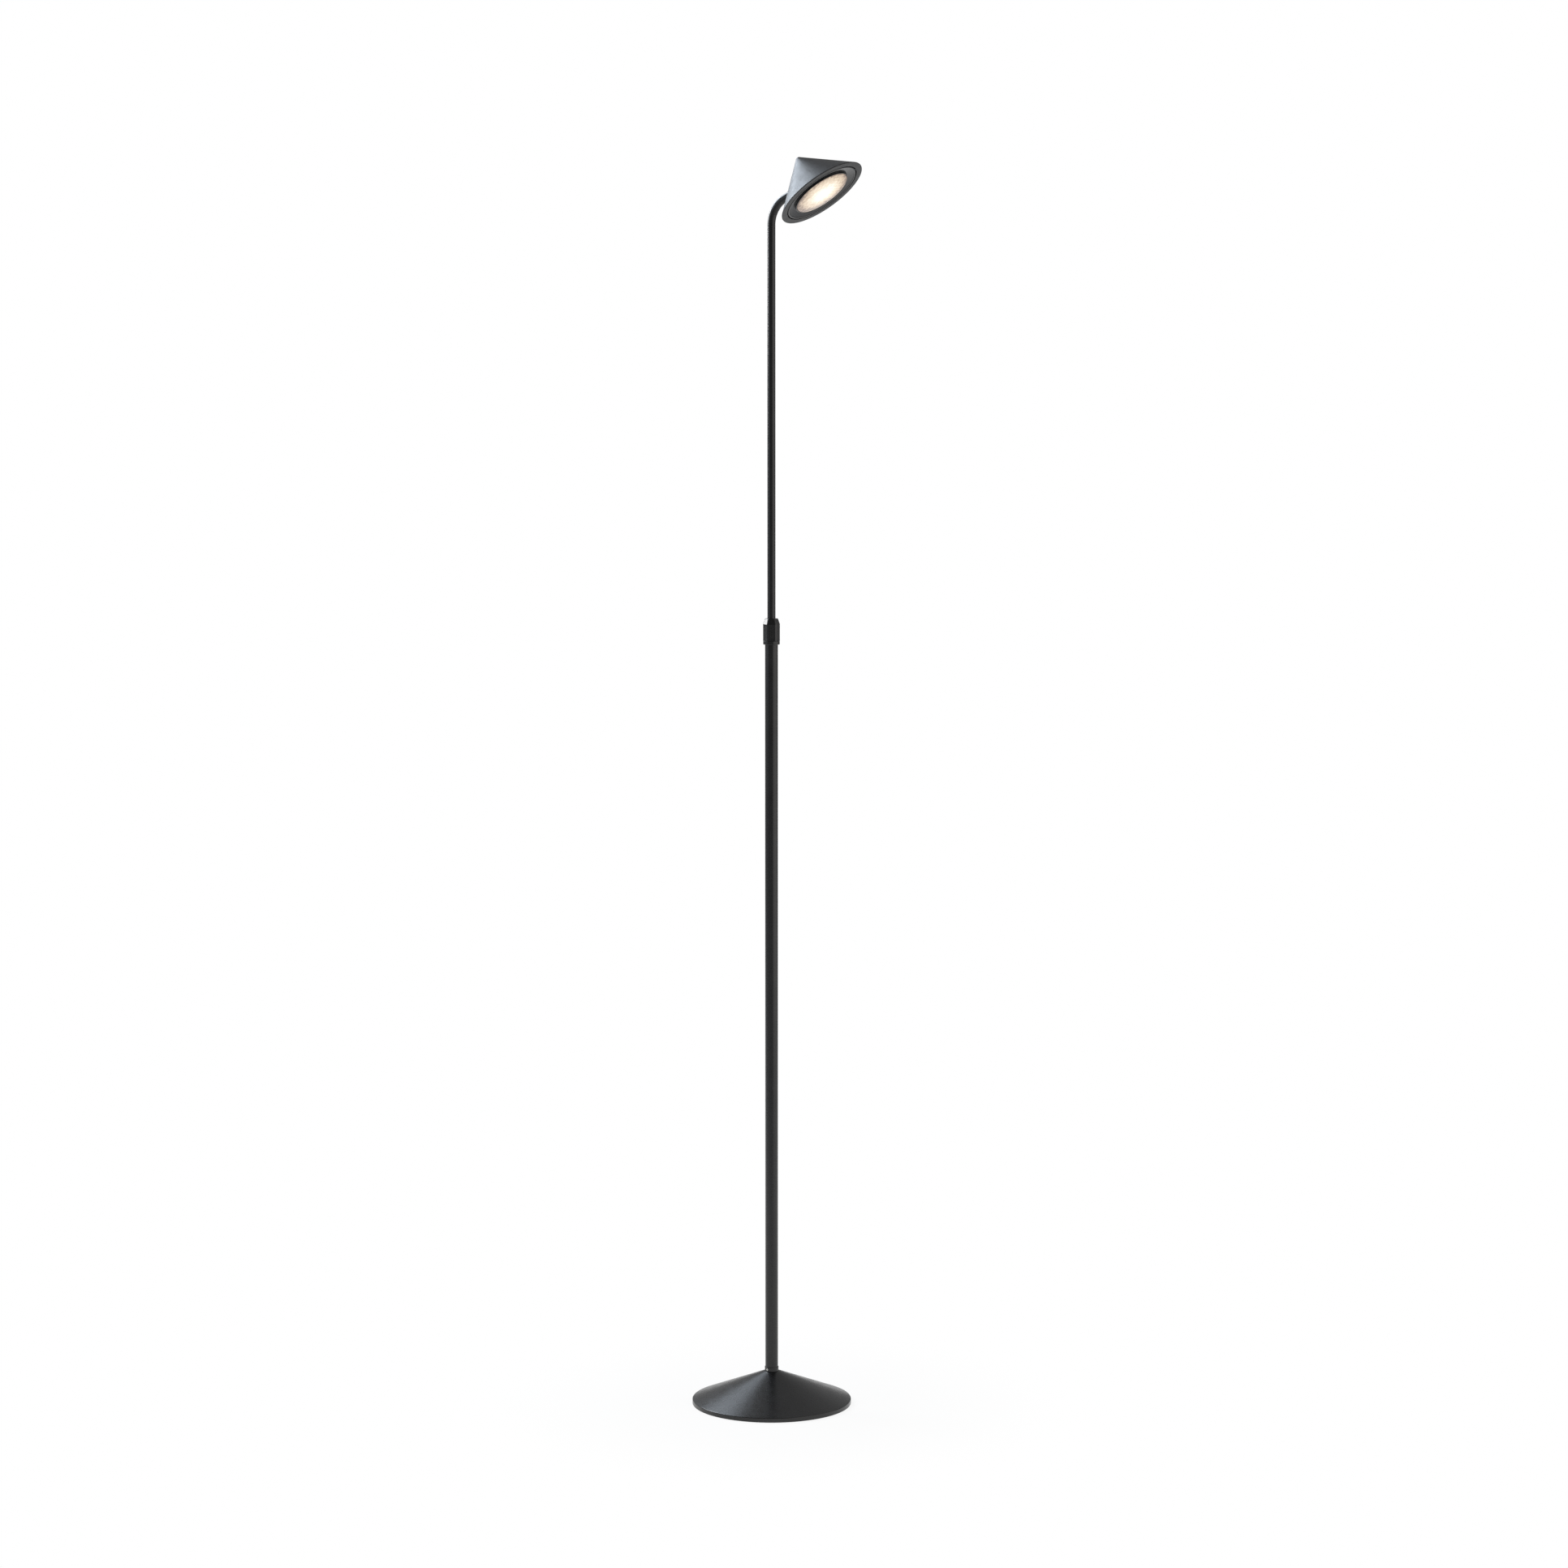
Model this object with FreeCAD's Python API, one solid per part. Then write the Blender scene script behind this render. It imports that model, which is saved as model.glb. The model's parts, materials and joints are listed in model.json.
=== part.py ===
"""Telescopic floor lamp, millimetres, origin on the floor under the pole.

+Z is up along the pole and +X is the side that the head leans to.  The foot and the lower pole stand
still.  A nut at the top of the lower pole locks the upper pole, which slides and turns in it, and the
head tilts on a hollow axle in the end of the bent neck.
"""
import FreeCAD, Part
import math
import os
from FreeCAD import Vector

# ---------------------------------------------------------------- clearances
FIT = 0.05              # radial gap of a bore round what it fits
PLAY = 0.2              # gap beside a face that moves or drops in
SLOT_ROOM = 0.75        # room round the neck in the shade's slot

# ---------------------------------------------------------------- foot
BASE_D = 200.0
RIM_LIFT = 0.5          # rim's lower edge above the floor
RIM_TOP = 6.0           # rim's upper edge above the floor
CONE_RISE = 35.75       # from the rim's upper edge to the crown
CROWN_D = 19.0          # flat top that carries the pole
COVER_WALL = 1.5
RIM_ROUND = 0.9
PAD_T = 1.5
PAD_INSET = 1.0         # pad's edge inside the plate's edge
PLATE_T = 2.0
PLATE_INSET = 2.5       # plate's edge inside the cover's skirt
WEIGHT_GAP = 0.3        # between the weight and the cover
WEIGHT_SKIRT_GAP = 0.5  # between the weight and the skirt
POCKET_D = 92.0
POCKET_H = 12.5
POCKET_ROUND = 0.5
PLATE_SCREWS = 4
PLATE_SCREW_CIRCLE_D = 160.0
PLATE_SCREW_TURN = 45.0 # first bottom screw's direction
SCREW_D = 3.0
SCREW_L = 7.0
SCREW_HEAD_D = 5.6
SCREW_HEAD_H = 1.6
SCREW_HEAD_ROUND = 0.6

# ---------------------------------------------------------------- stud that holds the pole
STUD_D = 10.0
STUD_BORE_D = 6.4
STUD_TAIL = 1.0         # stud beyond its nut
PLUG_L = 25.0           # part of the stud inside the pole
WASHER_D = 24.0
WASHER_T = 1.6
FOOT_NUT_AF = 16.0
FOOT_NUT_H = 5.0
FOOT_RING_WALL = 0.65
FOOT_RING_H = 5.4
GRUB_D = 2.5
GRUB_TURN = -100.0      # degrees round the pole from +X
GRUB_UP = 2.4           # above the crown

# ---------------------------------------------------------------- cord passage, clamp and driver
CORD_W = 5.2
CORD_T = 3.0
GROMMET_WALL = 0.65
GROMMET_FLANGE = 2.0    # how far the inner flange reaches past the notch
GROMMET_FLANGE_T = 1.2
CHANNEL_W = 13.0
CHANNEL_H = 4.0
CHANNEL_L = 26.0        # slot in the plate from its edge inward
SADDLE_INSET = 10.0     # block inside the pocket's wall
SADDLE_W = 8.0
SADDLE_L = 24.0
SADDLE_FLOOR = 1.0      # room under the clamp
CLAMP_T = 1.5
DRIVER_L = 50.0
DRIVER_GAP = 0.5        # beside the washer
DRIVER_FLOOR = 1.5      # room under the driver
DRIVER_ROUND = 1.5
DRIVER_TAB = 6.0
DRIVER_TAB_W = 10.0
DRIVER_TAB_T = 1.5

# ---------------------------------------------------------------- poles
LOWER_D = 16.0
LOWER_WALL = 1.0
LOWER_L = 919.4
UPPER_D = 10.0
UPPER_WALL = 1.0
UPPER_RISE = 483.05     # from the nut's top to the neck's bend
NECK_R = 36.0           # of the bend's centre line
NECK_TURN = 62.0        # degrees
NECK_RUN = 27.45        # from the bend's end to the tilt axis

# ---------------------------------------------------------------- clamp at the top of the lower pole
BAND_INSET = 0.15       # band inside the nut's corners
BAND_H = 4.5
SPIGOT_L = 26.0
GUIDE_L = 30.0
SLEEVE_OVER = 0.5       # sleeve's wall outside the lower pole's
SLEEVE_H = 14.5
SLEEVE_WALL = 1.6       # round the collet's tail
COLLET_TAIL = 7.5
COLLET_HEAD_INSET = 0.5 # collet's head inside the sleeve's outside
COLLET_RIM = 2.0
COLLET_CONE = 5.0
COLLET_TIP = 1.0        # wall at the cone's thin end
COLLET_SLITS = 4
COLLET_SLIT_W = 0.8
COLLET_SLIT_TURN = 45.0
NUT_WALL = 1.0          # at the middle of a flat
NUT_CORNER = 0.9        # rounded corner beyond the flat
NUT_H = 27.4
NUT_CHAMFER_H = 6.9
NUT_TOP_W = 2.4         # top face beside the upper pole, at the middle of a flat
NUT_TURN = 5.2          # direction of a flat, degrees from +X

# ---------------------------------------------------------------- slide parts on the upper pole
BUSH_L = 24.0
STOP_GAP = 0.4          # inside the lower pole's wall
STOP_H = 5.0
CLIP_GAP = 1.0
CLIP_T = 1.0
CLIP_MOUTH = 3.0        # opening of the circlip
CLIP_GROOVE = 0.35
TUBE_TIP = 1.5          # tube below the circlip

# ---------------------------------------------------------------- low voltage lead
LEAD_D = 2.4
LEAD_BEND_R = 3.6
COIL_ROOM = 1.5         # round the coiled stretch in the lower pole
COIL_GAP = 1.0          # above the plug

# ---------------------------------------------------------------- knuckle in the end of the neck
EYE_D = 11.0
EYE_W = 9.0
AXLE_D = 7.0
AXLE_BORE_D = 3.4
SHANK_D = 9.0
SHANK_L = 7.5           # from the tilt axis to the tube's end
KNUCKLE_SPIGOT_L = 12.5
KNUCKLE_BORE_D = 3.6
DISC_T = 0.5
YOKE_T = 1.45
AXLE_WASHER_T = 0.5
AXLE_WASHER_D = 10.4
AXLE_NUT_AF = 10.0
AXLE_NUT_H = 2.5
AXLE_TAIL = 0.4

# ---------------------------------------------------------------- head, in a frame at the mouth's centre
HEAD_DOWN = 50.3        # degrees that the head looks below the horizon
TILT_UP = 40.0          # degrees that the head tilts up from there
TILT_DOWN = 15.0
SHADE_D = 117.2
SHADE_H = 57.2          # to the point where the cone's sides would meet
SHADE_WALL = 1.2
SHADE_TIP_R = 2.15
SHADE_LIP_R = 0.6
PIVOT_SIDE = 18.85      # tilt axis off the cone's axis, toward the pole
EYE_GAP = 1.1           # between the knuckle's eye and the fork's foot
FLANGE_W = 8.6          # width of the mouth's flange
TRIM_GAP = 1.0          # dark groove between flange and trim ring
BEAD_W = 2.5
DISH_DEEP = 2.2
DISH_EDGE = 0.6         # dish's outer edge below the bead
LIP_W = 1.4             # ring's lip round the lens
LIP_UP = 2.2            # lip above the dish's foot
TRIM_WALL = 1.2
TRIM_SKIRT = 5.0        # depth of the ring's outer wall
LENS_D = 71.4
LENS_GAP = 0.5
LENS_EDGE = 3.0
LENS_CROWN = 3.0
LENS_BACK = 2.7         # lens's flat back behind the mouth
GASKET_T = 0.4
GASKET_W = 1.5
LEDGE_T = 0.8
CLIP_COUNT = 3
TRIM_CLIP_W = 6.0
TRIM_CLIP_REACH = 2.3
TRIM_CLIP_DROP = 3.0
TRIM_CLIP_TURN = 30.0   # first clip's direction
REFLECTOR_RIM = 0.8     # reflector's edge beyond the lens
REFLECTOR_INSET = 2.2   # its mouth inside the lens
REFLECTOR_EYE_D = 18.0
REFLECTOR_WALL = 0.8
PLATE_FRONT = 13.2      # heat plate's front behind the mouth
HEAT_PLATE_T = 2.8
HEAT_PLATE_GAP = 1.1    # inside the shade's wall
BOARD_D = 32.0
BOARD_T = 1.4
BOARD_SCREW_OUT = 0.5   # screws beyond the middle between emitter and edge
EMITTER_D = 14.0
EMITTER_T = 0.9
LUG_COUNT = 3
LUG_W = 8.0
LUG_T = 4.0
LUG_TURN = 60.0         # first lug's direction
LUG_REACH = 8.8         # lug inside the heat plate's edge
LUG_SCREW_INSET = 4.8
YOKE_BASE_T = 1.2
YOKE_FOOT = 14.8        # yoke's foot from the tilt axis toward the cone's axis
YOKE_SCREW_FOOT = 10.8
YOKE_SCREW_SPREAD = 6.4
SINK_X1 = 2.0
SINK_GAP = 2.5          # between the fins and the shade
SINK_W = 24.0
SINK_H = 14.0
SINK_FLOOR = 2.0
SINK_FINS = 6
SINK_FIN_T = 1.4
TERMINAL_L = 10.0
TERMINAL_Y = 14.0
TERMINAL_GAP = 5.2      # between the block and the shade
TERMINAL_H = 10.0
TERMINAL_WELL_D = 2.4   # wells of its two screws
LEAD_TURN_R = 6.0       # of the head lead's bend
LEAD_SIDE = 19.0        # where the head lead enters the terminal block

# ---------------------------------------------------------------- places that follow from the sizes
BASE_R = BASE_D / 2
CROWN_R = CROWN_D / 2
CROWN_Z = RIM_TOP + CONE_RISE
SLOPE = CONE_RISE / (BASE_R - CROWN_R)
COVER_DROP = COVER_WALL * math.hypot(1.0, SLOPE)
SKIRT_IN_R = BASE_R - COVER_WALL
PLATE_R = SKIRT_IN_R - PLATE_INSET
PLATE_TOP = PAD_T + PLATE_T
POCKET_TOP = PLATE_TOP + POCKET_H
WEIGHT_R = SKIRT_IN_R - WEIGHT_SKIRT_GAP
NOTCH_W = CORD_W + 2 * GROMMET_WALL
NOTCH_TOP = RIM_LIFT + CORD_T + 2 * GROMMET_WALL
STUD_FOOT = POCKET_TOP - WASHER_T - FOOT_NUT_H - STUD_TAIL
SADDLE_X = SADDLE_INSET + SADDLE_W / 2 - POCKET_D / 2
SADDLE_FOOT = PLATE_TOP + SADDLE_FLOOR + CLAMP_T + CORD_T
DRIVER_IN = WASHER_D / 2 + DRIVER_GAP
DRIVER_OUT = math.sqrt((POCKET_D / 2 - POCKET_ROUND - PLAY) ** 2 - (DRIVER_L / 2) ** 2)
DRIVER_FOOT = PLATE_TOP + DRIVER_FLOOR

LOWER_R = LOWER_D / 2
LOWER_IN_R = LOWER_R - LOWER_WALL
LOWER_TOP = CROWN_Z + LOWER_L
SLEEVE_D = LOWER_D + 2 * SLEEVE_OVER
COLLET_D = SLEEVE_D - 2 * SLEEVE_WALL
COLLET_HEAD_D = SLEEVE_D - 2 * COLLET_HEAD_INSET
NUT_AF = SLEEVE_D + 2 * (FIT + NUT_WALL)
NUT_D = NUT_AF + 2 * NUT_CORNER
NUT_TOP_AF = UPPER_D + 2 * NUT_TOP_W
BAND_D = NUT_D - 2 * BAND_INSET
STOP_D = 2 * (LOWER_IN_R - STOP_GAP)
CLIP_D = 2 * (LOWER_IN_R - CLIP_GAP)
COIL_D = 2 * (LOWER_IN_R - COIL_ROOM)
SLEEVE_TOP = LOWER_TOP + BAND_H + SLEEVE_H
SPIGOT_FOOT = LOWER_TOP - SPIGOT_L
GUIDE_FOOT = SPIGOT_FOOT - GUIDE_L
NUT_FOOT = LOWER_TOP + BAND_H + PLAY
NUT_TOP = NUT_FOOT + NUT_H

UPPER_R = UPPER_D / 2
UPPER_IN_R = UPPER_R - UPPER_WALL
PASS_R = UPPER_R + 2 * PLAY
STOP_TOP = GUIDE_FOOT - PLAY
BUSH_TOP = STOP_TOP - STOP_H - FIT
CLIP_TOP = BUSH_TOP - BUSH_L - FIT
UPPER_FOOT = CLIP_TOP - CLIP_T - TUBE_TIP
BEND_Z = NUT_TOP + UPPER_RISE

NECK_END = Vector(NECK_R * (1 - math.cos(math.radians(NECK_TURN))), 0,
                  BEND_Z + NECK_R * math.sin(math.radians(NECK_TURN)))
NECK_DIR = Vector(math.sin(math.radians(NECK_TURN)), 0, math.cos(math.radians(NECK_TURN)))
PIVOT = NECK_END + NECK_DIR * NECK_RUN

MOUTH_R = SHADE_D / 2
CONE_SLOPE = MOUTH_R / SHADE_H
WALL_SIDE = SHADE_WALL * math.hypot(1.0, CONE_SLOPE)
FLANGE_D = SHADE_D - 2 * FLANGE_W
DISH_OUT_D = FLANGE_D - 2 * (TRIM_GAP + BEAD_W)
DISH_IN_D = LENS_D + 2 * (LENS_GAP + LIP_W)
REFLECTOR_D = LENS_D + 2 * REFLECTOR_RIM
REFLECTOR_MOUTH_D = LENS_D - 2 * REFLECTOR_INSET
PLATE_BACK = PLATE_FRONT + HEAT_PLATE_T
YOKE_BACK = PLATE_BACK + YOKE_BASE_T
PIVOT_BACK = YOKE_BACK + EYE_GAP + EYE_D / 2
HEAT_PLATE_R = MOUTH_R - CONE_SLOPE * PLATE_BACK - WALL_SIDE - HEAT_PLATE_GAP
LUG_IN_R = HEAT_PLATE_R - LUG_REACH
LUG_SCREW_R = HEAT_PLATE_R - LUG_SCREW_INSET
SINK_ROOM_R = MOUTH_R - CONE_SLOPE * (PLATE_BACK + SINK_H) - WALL_SIDE
SINK_X0 = SINK_GAP - math.sqrt(SINK_ROOM_R ** 2 - (SINK_W / 2) ** 2)
TERMINAL_ROOM_R = MOUTH_R - CONE_SLOPE * (PLATE_BACK + TERMINAL_H) - WALL_SIDE
TERMINAL_END = math.sqrt(TERMINAL_ROOM_R ** 2 - (TERMINAL_L / 2) ** 2) - TERMINAL_GAP
YOKE_IN = EYE_W / 2 + DISC_T + FIT
YOKE_OUT = YOKE_IN + YOKE_T
AXLE_HALF = YOKE_OUT + FIT + AXLE_WASHER_T + AXLE_NUT_H + AXLE_TAIL

X = Vector(1, 0, 0)
Y = Vector(0, 1, 0)
Z = Vector(0, 0, 1)
ORIGIN = Vector(0, 0, 0)


# ---------------------------------------------------------------- helpers
def cylinder(radius, z0, z1):
    """Upright cylinder on the z axis."""
    return Part.makeCylinder(radius, z1 - z0, Vector(0, 0, z0))


def ring(outer, inner, z0, z1):
    """Upright tube on the z axis."""
    return cylinder(outer, z0, z1).cut(cylinder(inner, z0 - 1, z1 + 1))


def box(x0, x1, y0, y1, z0, z1):
    """Box between two values along each axis."""
    return Part.makeBox(x1 - x0, y1 - y0, z1 - z0, Vector(x0, y0, z0))


def rod(radius, start, end):
    """Round rod from one point to another."""
    along = end - start
    return Part.makeCylinder(radius, along.Length, start, along)


def cone(r0, r1, z0, z1):
    """Upright cone frustum, radius r0 at z0 and r1 at z1."""
    return Part.makeCone(r0, r1, z1 - z0, Vector(0, 0, z0))


def rounded_outline(corners):
    """Closed outline in the xz plane.  A corner is (x, z) or (x, z, rounding radius)."""
    points = [Vector(c[0], 0, c[1]) for c in corners]
    radii = [c[2] if len(c) > 2 else 0.0 for c in corners]
    count = len(points)
    starts, ends, middles = [], [], []
    for i in range(count):
        here = points[i]
        back = (points[i - 1] - here).normalize()
        ahead = (points[(i + 1) % count] - here).normalize()
        if radii[i] == 0.0:
            starts.append(here)
            ends.append(here)
            middles.append(None)
            continue
        half = back.getAngle(ahead) / 2
        setback = radii[i] / math.tan(half)
        centre = here + (back + ahead).normalize() * (radii[i] / math.sin(half))
        starts.append(here + back * setback)
        ends.append(here + ahead * setback)
        middles.append(centre + (here - centre).normalize() * radii[i])
    edges = []
    for i in range(count):
        if middles[i] is not None:
            edges.append(Part.Arc(starts[i], middles[i], ends[i]).toShape())
        following = starts[(i + 1) % count]
        if (following - ends[i]).Length > 1e-7:
            edges.append(Part.LineSegment(ends[i], following).toShape())
    return Part.Wire(edges)


def turned(corners):
    """Solid turned round the z axis from an outline in the xz plane."""
    return Part.Face(rounded_outline(corners)).revolve(ORIGIN, Z, 360)


def six_sides(across_flats, z, turn):
    """Level hexagonal wire with a flat toward the given direction."""
    reach = across_flats / 2 / math.cos(math.radians(30))
    corners = []
    for i in range(7):
        angle = math.radians(turn + 30 + 60 * i)
        corners.append(Vector(reach * math.cos(angle), reach * math.sin(angle), z))
    return Part.makePolygon(corners)


def hexagon(across_flats, z0, z1, turn=0.0):
    """Upright hexagonal prism."""
    return Part.Face(six_sides(across_flats, z0, turn)).extrude(Vector(0, 0, z1 - z0))


def hexagon_taper(flats_low, flats_high, z0, z1, turn=0.0):
    """Upright hexagonal frustum, from one distance across flats at z0 to another at z1."""
    return Part.makeLoft([six_sides(flats_low, z0, turn), six_sides(flats_high, z1, turn)], True, True)


def around(shape, count, first=0.0):
    """Copies of a shape spread evenly round the z axis."""
    copies = []
    for i in range(count):
        copy = shape.copy()
        copy.rotate(ORIGIN, Z, first + 360.0 * i / count)
        copies.append(copy)
    return copies


def countersunk(length, head_d=2 * SCREW_D):
    """Countersunk screw, its head's face at z = 0 and its shaft upward."""
    head_h = (head_d - SCREW_D) / 2
    head = cone(head_d / 2, SCREW_D / 2, 0, head_h)
    socket = hexagon(SCREW_D * 0.6, -1, head_h * 0.6)
    return head.fuse(cylinder(SCREW_D / 2, 0, length)).cut(socket).removeSplitter()


def pan_screw(length):
    """Pan head screw, the head's bearing face at z = 0, the head below it and the shaft upward."""
    head = turned([(0, -SCREW_HEAD_H), (SCREW_HEAD_D / 2, -SCREW_HEAD_H, SCREW_HEAD_ROUND),
                   (SCREW_HEAD_D / 2, 0), (0, 0)])
    socket = hexagon(SCREW_D * 0.6, -SCREW_HEAD_H - 1, -SCREW_HEAD_H * 0.4)
    return head.fuse(cylinder(SCREW_D / 2, 0, length)).cut(socket).removeSplitter()


def moved(shape, x, y, z):
    """Copy of a shape moved by the given amounts."""
    copy = shape.copy()
    copy.translate(Vector(x, y, z))
    return copy


def flipped(shape):
    """Copy of a shape turned upside down about the x axis."""
    copy = shape.copy()
    copy.rotate(ORIGIN, X, 180)
    return copy


def placed(shape, place, turn):
    """Copy of a shape turned about +Y and set at a place."""
    copy = shape.copy()
    copy.rotate(ORIGIN, Y, turn)
    copy.translate(place)
    return copy


def at_knuckle(shape):
    """From the knuckle's frame, +X back along the neck from the tilt axis, to the lamp's frame."""
    return placed(shape, PIVOT, 90 + NECK_TURN)


def at_head(shape):
    """From the head's frame, +Z out of the mouth and +X toward the pole, to the lamp's frame."""
    turn = 90 + HEAD_DOWN
    spin = FreeCAD.Rotation(Y, turn)
    mouth = PIVOT - spin.multVec(Vector(PIVOT_SIDE, 0, -PIVOT_BACK))
    return placed(shape, mouth, turn)


def neck_rod(radius, foot, gap):
    """Rod along the upper pole's centre line, from a height up to a gap before the tilt axis."""
    upright = cylinder(radius, foot, BEND_Z)
    disc = Part.Face(Part.Wire(Part.makeCircle(radius, Vector(0, 0, BEND_Z), Z)))
    bend = disc.revolve(Vector(NECK_R, 0, BEND_Z), Y, NECK_TURN)
    run = rod(radius, NECK_END, PIVOT - NECK_DIR * gap)
    return upright.fuse([bend, run]).removeSplitter()


def cone_side(z, inset=0.0):
    """Radius of the shade's outer cone at a height in the head's frame, less an inset."""
    return MOUTH_R + CONE_SLOPE * z - inset


# ---------------------------------------------------------------- foot
def base_cover():
    """Sheet cone with a short skirt, a flat crown and a notch for the cord in its rear."""
    inner_rim = RIM_TOP + SLOPE * COVER_WALL - COVER_DROP
    inner_crown_r = CROWN_R - (COVER_DROP - COVER_WALL) / SLOPE
    hole = STUD_D / 2 + PLAY
    shell = turned([
        (SKIRT_IN_R, RIM_LIFT), (BASE_R, RIM_LIFT, COVER_WALL / 5), (BASE_R, RIM_TOP, RIM_ROUND),
        (CROWN_R, CROWN_Z, RIM_ROUND), (hole, CROWN_Z), (hole, CROWN_Z - COVER_WALL),
        (inner_crown_r, CROWN_Z - COVER_WALL), (SKIRT_IN_R, inner_rim)])
    notch = box(-BASE_R - 1, -SKIRT_IN_R + 1, -NOTCH_W / 2, NOTCH_W / 2, RIM_LIFT - 1, NOTCH_TOP)
    return shell.cut(notch)


def base_weight():
    """Cast weight that fills the cover, with a pocket, a cord channel and a block for the cord clamp."""
    drop = COVER_DROP + WEIGHT_GAP
    edge = RIM_TOP + SLOPE * (BASE_R - WEIGHT_R) - drop
    crown_r = CROWN_R - (COVER_DROP - COVER_WALL + WEIGHT_GAP) / SLOPE
    hole = STUD_D / 2 + PLAY
    body = turned([
        (POCKET_D / 2, PLATE_TOP), (WEIGHT_R, PLATE_TOP), (WEIGHT_R, edge),
        (crown_r, CROWN_Z - COVER_WALL), (hole, CROWN_Z - COVER_WALL), (hole, POCKET_TOP),
        (POCKET_D / 2, POCKET_TOP, POCKET_ROUND)])
    body = body.cut(box(-BASE_R, 1 - POCKET_D / 2, -CHANNEL_W / 2, CHANNEL_W / 2,
                        PLATE_TOP - 1, PLATE_TOP + CHANNEL_H))
    block = box(SADDLE_X - SADDLE_W / 2, SADDLE_X + SADDLE_W / 2, -SADDLE_L / 2, SADDLE_L / 2,
                SADDLE_FOOT, POCKET_TOP)
    body = body.fuse(block).removeSplitter()
    holes = [rod(SCREW_D / 2 + FIT, Vector(x, y, z), Vector(x, y, z + SCREW_L + 1))
             for x, y, z in weight_screw_places()]
    return body.cut(holes)


def plate_screw_places():
    """Middle of each bottom screw on the plate's lower face."""
    places = []
    for i in range(PLATE_SCREWS):
        angle = math.radians(PLATE_SCREW_TURN + 360 * i / PLATE_SCREWS)
        reach = PLATE_SCREW_CIRCLE_D / 2
        places.append((reach * math.cos(angle), reach * math.sin(angle), PAD_T))
    return places


def clamp_screw_places():
    """Middle of each clamp screw on the saddle block's lower face."""
    side = (CORD_W / 2 + CLAMP_T + SADDLE_L / 2) / 2
    return [(SADDLE_X, y, SADDLE_FOOT) for y in (-side, side)]


def driver_screw_places():
    """Middle of each driver screw on the pocket's ceiling."""
    side = DRIVER_L / 2 + DRIVER_TAB / 2
    return [(DRIVER_IN + DRIVER_TAB_W / 2, y, POCKET_TOP) for y in (-side, side)]


def weight_screw_places():
    """Where screws enter the weight."""
    return plate_screw_places() + clamp_screw_places() + driver_screw_places()


def bottom_plate():
    """Steel disc under the weight, countersunk for its screws and slotted over the cord channel."""
    plate = cylinder(PLATE_R, PAD_T, PLATE_TOP)
    slot = box(-BASE_R, CHANNEL_L - PLATE_R, -CHANNEL_W / 2, CHANNEL_W / 2, PAD_T - 1, PLATE_TOP + 1)
    sinks = []
    for x, y, z in plate_screw_places():
        sink = cone(SCREW_D + FIT, SCREW_D / 2 + FIT, 0, SCREW_D / 2)
        sinks.append(moved(sink.fuse(cylinder(SCREW_D / 2 + FIT, 0, PLATE_T + 1)), x, y, z))
    return plate.cut([slot] + sinks)


def bottom_screws():
    """Countersunk screws of the bottom plate."""
    return [moved(countersunk(SCREW_L), x, y, z) for x, y, z in plate_screw_places()]


def base_pad():
    """Rubber disc that the lamp stands on."""
    return cylinder(PLATE_R - PAD_INSET, 0, PAD_T)


def foot_plug():
    """Hollow stud, its plain head pressed into the pole's end."""
    head = cylinder(LOWER_IN_R - FIT, CROWN_Z, CROWN_Z + PLUG_L)
    stud = cylinder(STUD_D / 2, STUD_FOOT, CROWN_Z + PLUG_L)
    bore = cylinder(STUD_BORE_D / 2, STUD_FOOT - 1, CROWN_Z + PLUG_L + 1)
    return head.fuse(stud).cut([bore, grub_hole()]).removeSplitter()


def grub_hole():
    """Radial hole for the set screw, through the foot ring, the pole and the stud's head."""
    angle = math.radians(GRUB_TURN)
    out = Vector(math.cos(angle), math.sin(angle), 0)
    height = Z * (CROWN_Z + GRUB_UP)
    return rod(GRUB_D / 2 + FIT, height + out * (STUD_BORE_D / 2 - 1), height + out * (LOWER_R + 3))


def grub_screw():
    """Set screw that stops the pole from turning on its stud."""
    angle = math.radians(GRUB_TURN)
    out = Vector(math.cos(angle), math.sin(angle), 0)
    height = Z * (CROWN_Z + GRUB_UP)
    outside = LOWER_R + FIT + FOOT_RING_WALL - PLAY
    screw = rod(GRUB_D / 2, height + out * (STUD_BORE_D / 2 + PLAY), height + out * outside)
    socket = rod(GRUB_D / 4, height + out * (outside - 1), height + out * (outside + 1))
    return screw.cut(socket)


def base_washer():
    return ring(WASHER_D / 2, STUD_D / 2 + PLAY, POCKET_TOP - WASHER_T, POCKET_TOP)


def base_nut():
    top = POCKET_TOP - WASHER_T
    bore = cylinder(STUD_D / 2 + FIT, top - FOOT_NUT_H - 1, top + 1)
    return hexagon(FOOT_NUT_AF, top - FOOT_NUT_H, top).cut(bore)


def foot_ring():
    """Thin ring round the pole's lower end, drilled for the set screw."""
    bore = LOWER_R + FIT
    outer = bore + FOOT_RING_WALL
    body = turned([(bore, CROWN_Z), (outer, CROWN_Z), (outer, CROWN_Z + FOOT_RING_H, FOOT_RING_WALL / 2),
                   (bore, CROWN_Z + FOOT_RING_H)])
    return body.cut(grub_hole())


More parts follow.
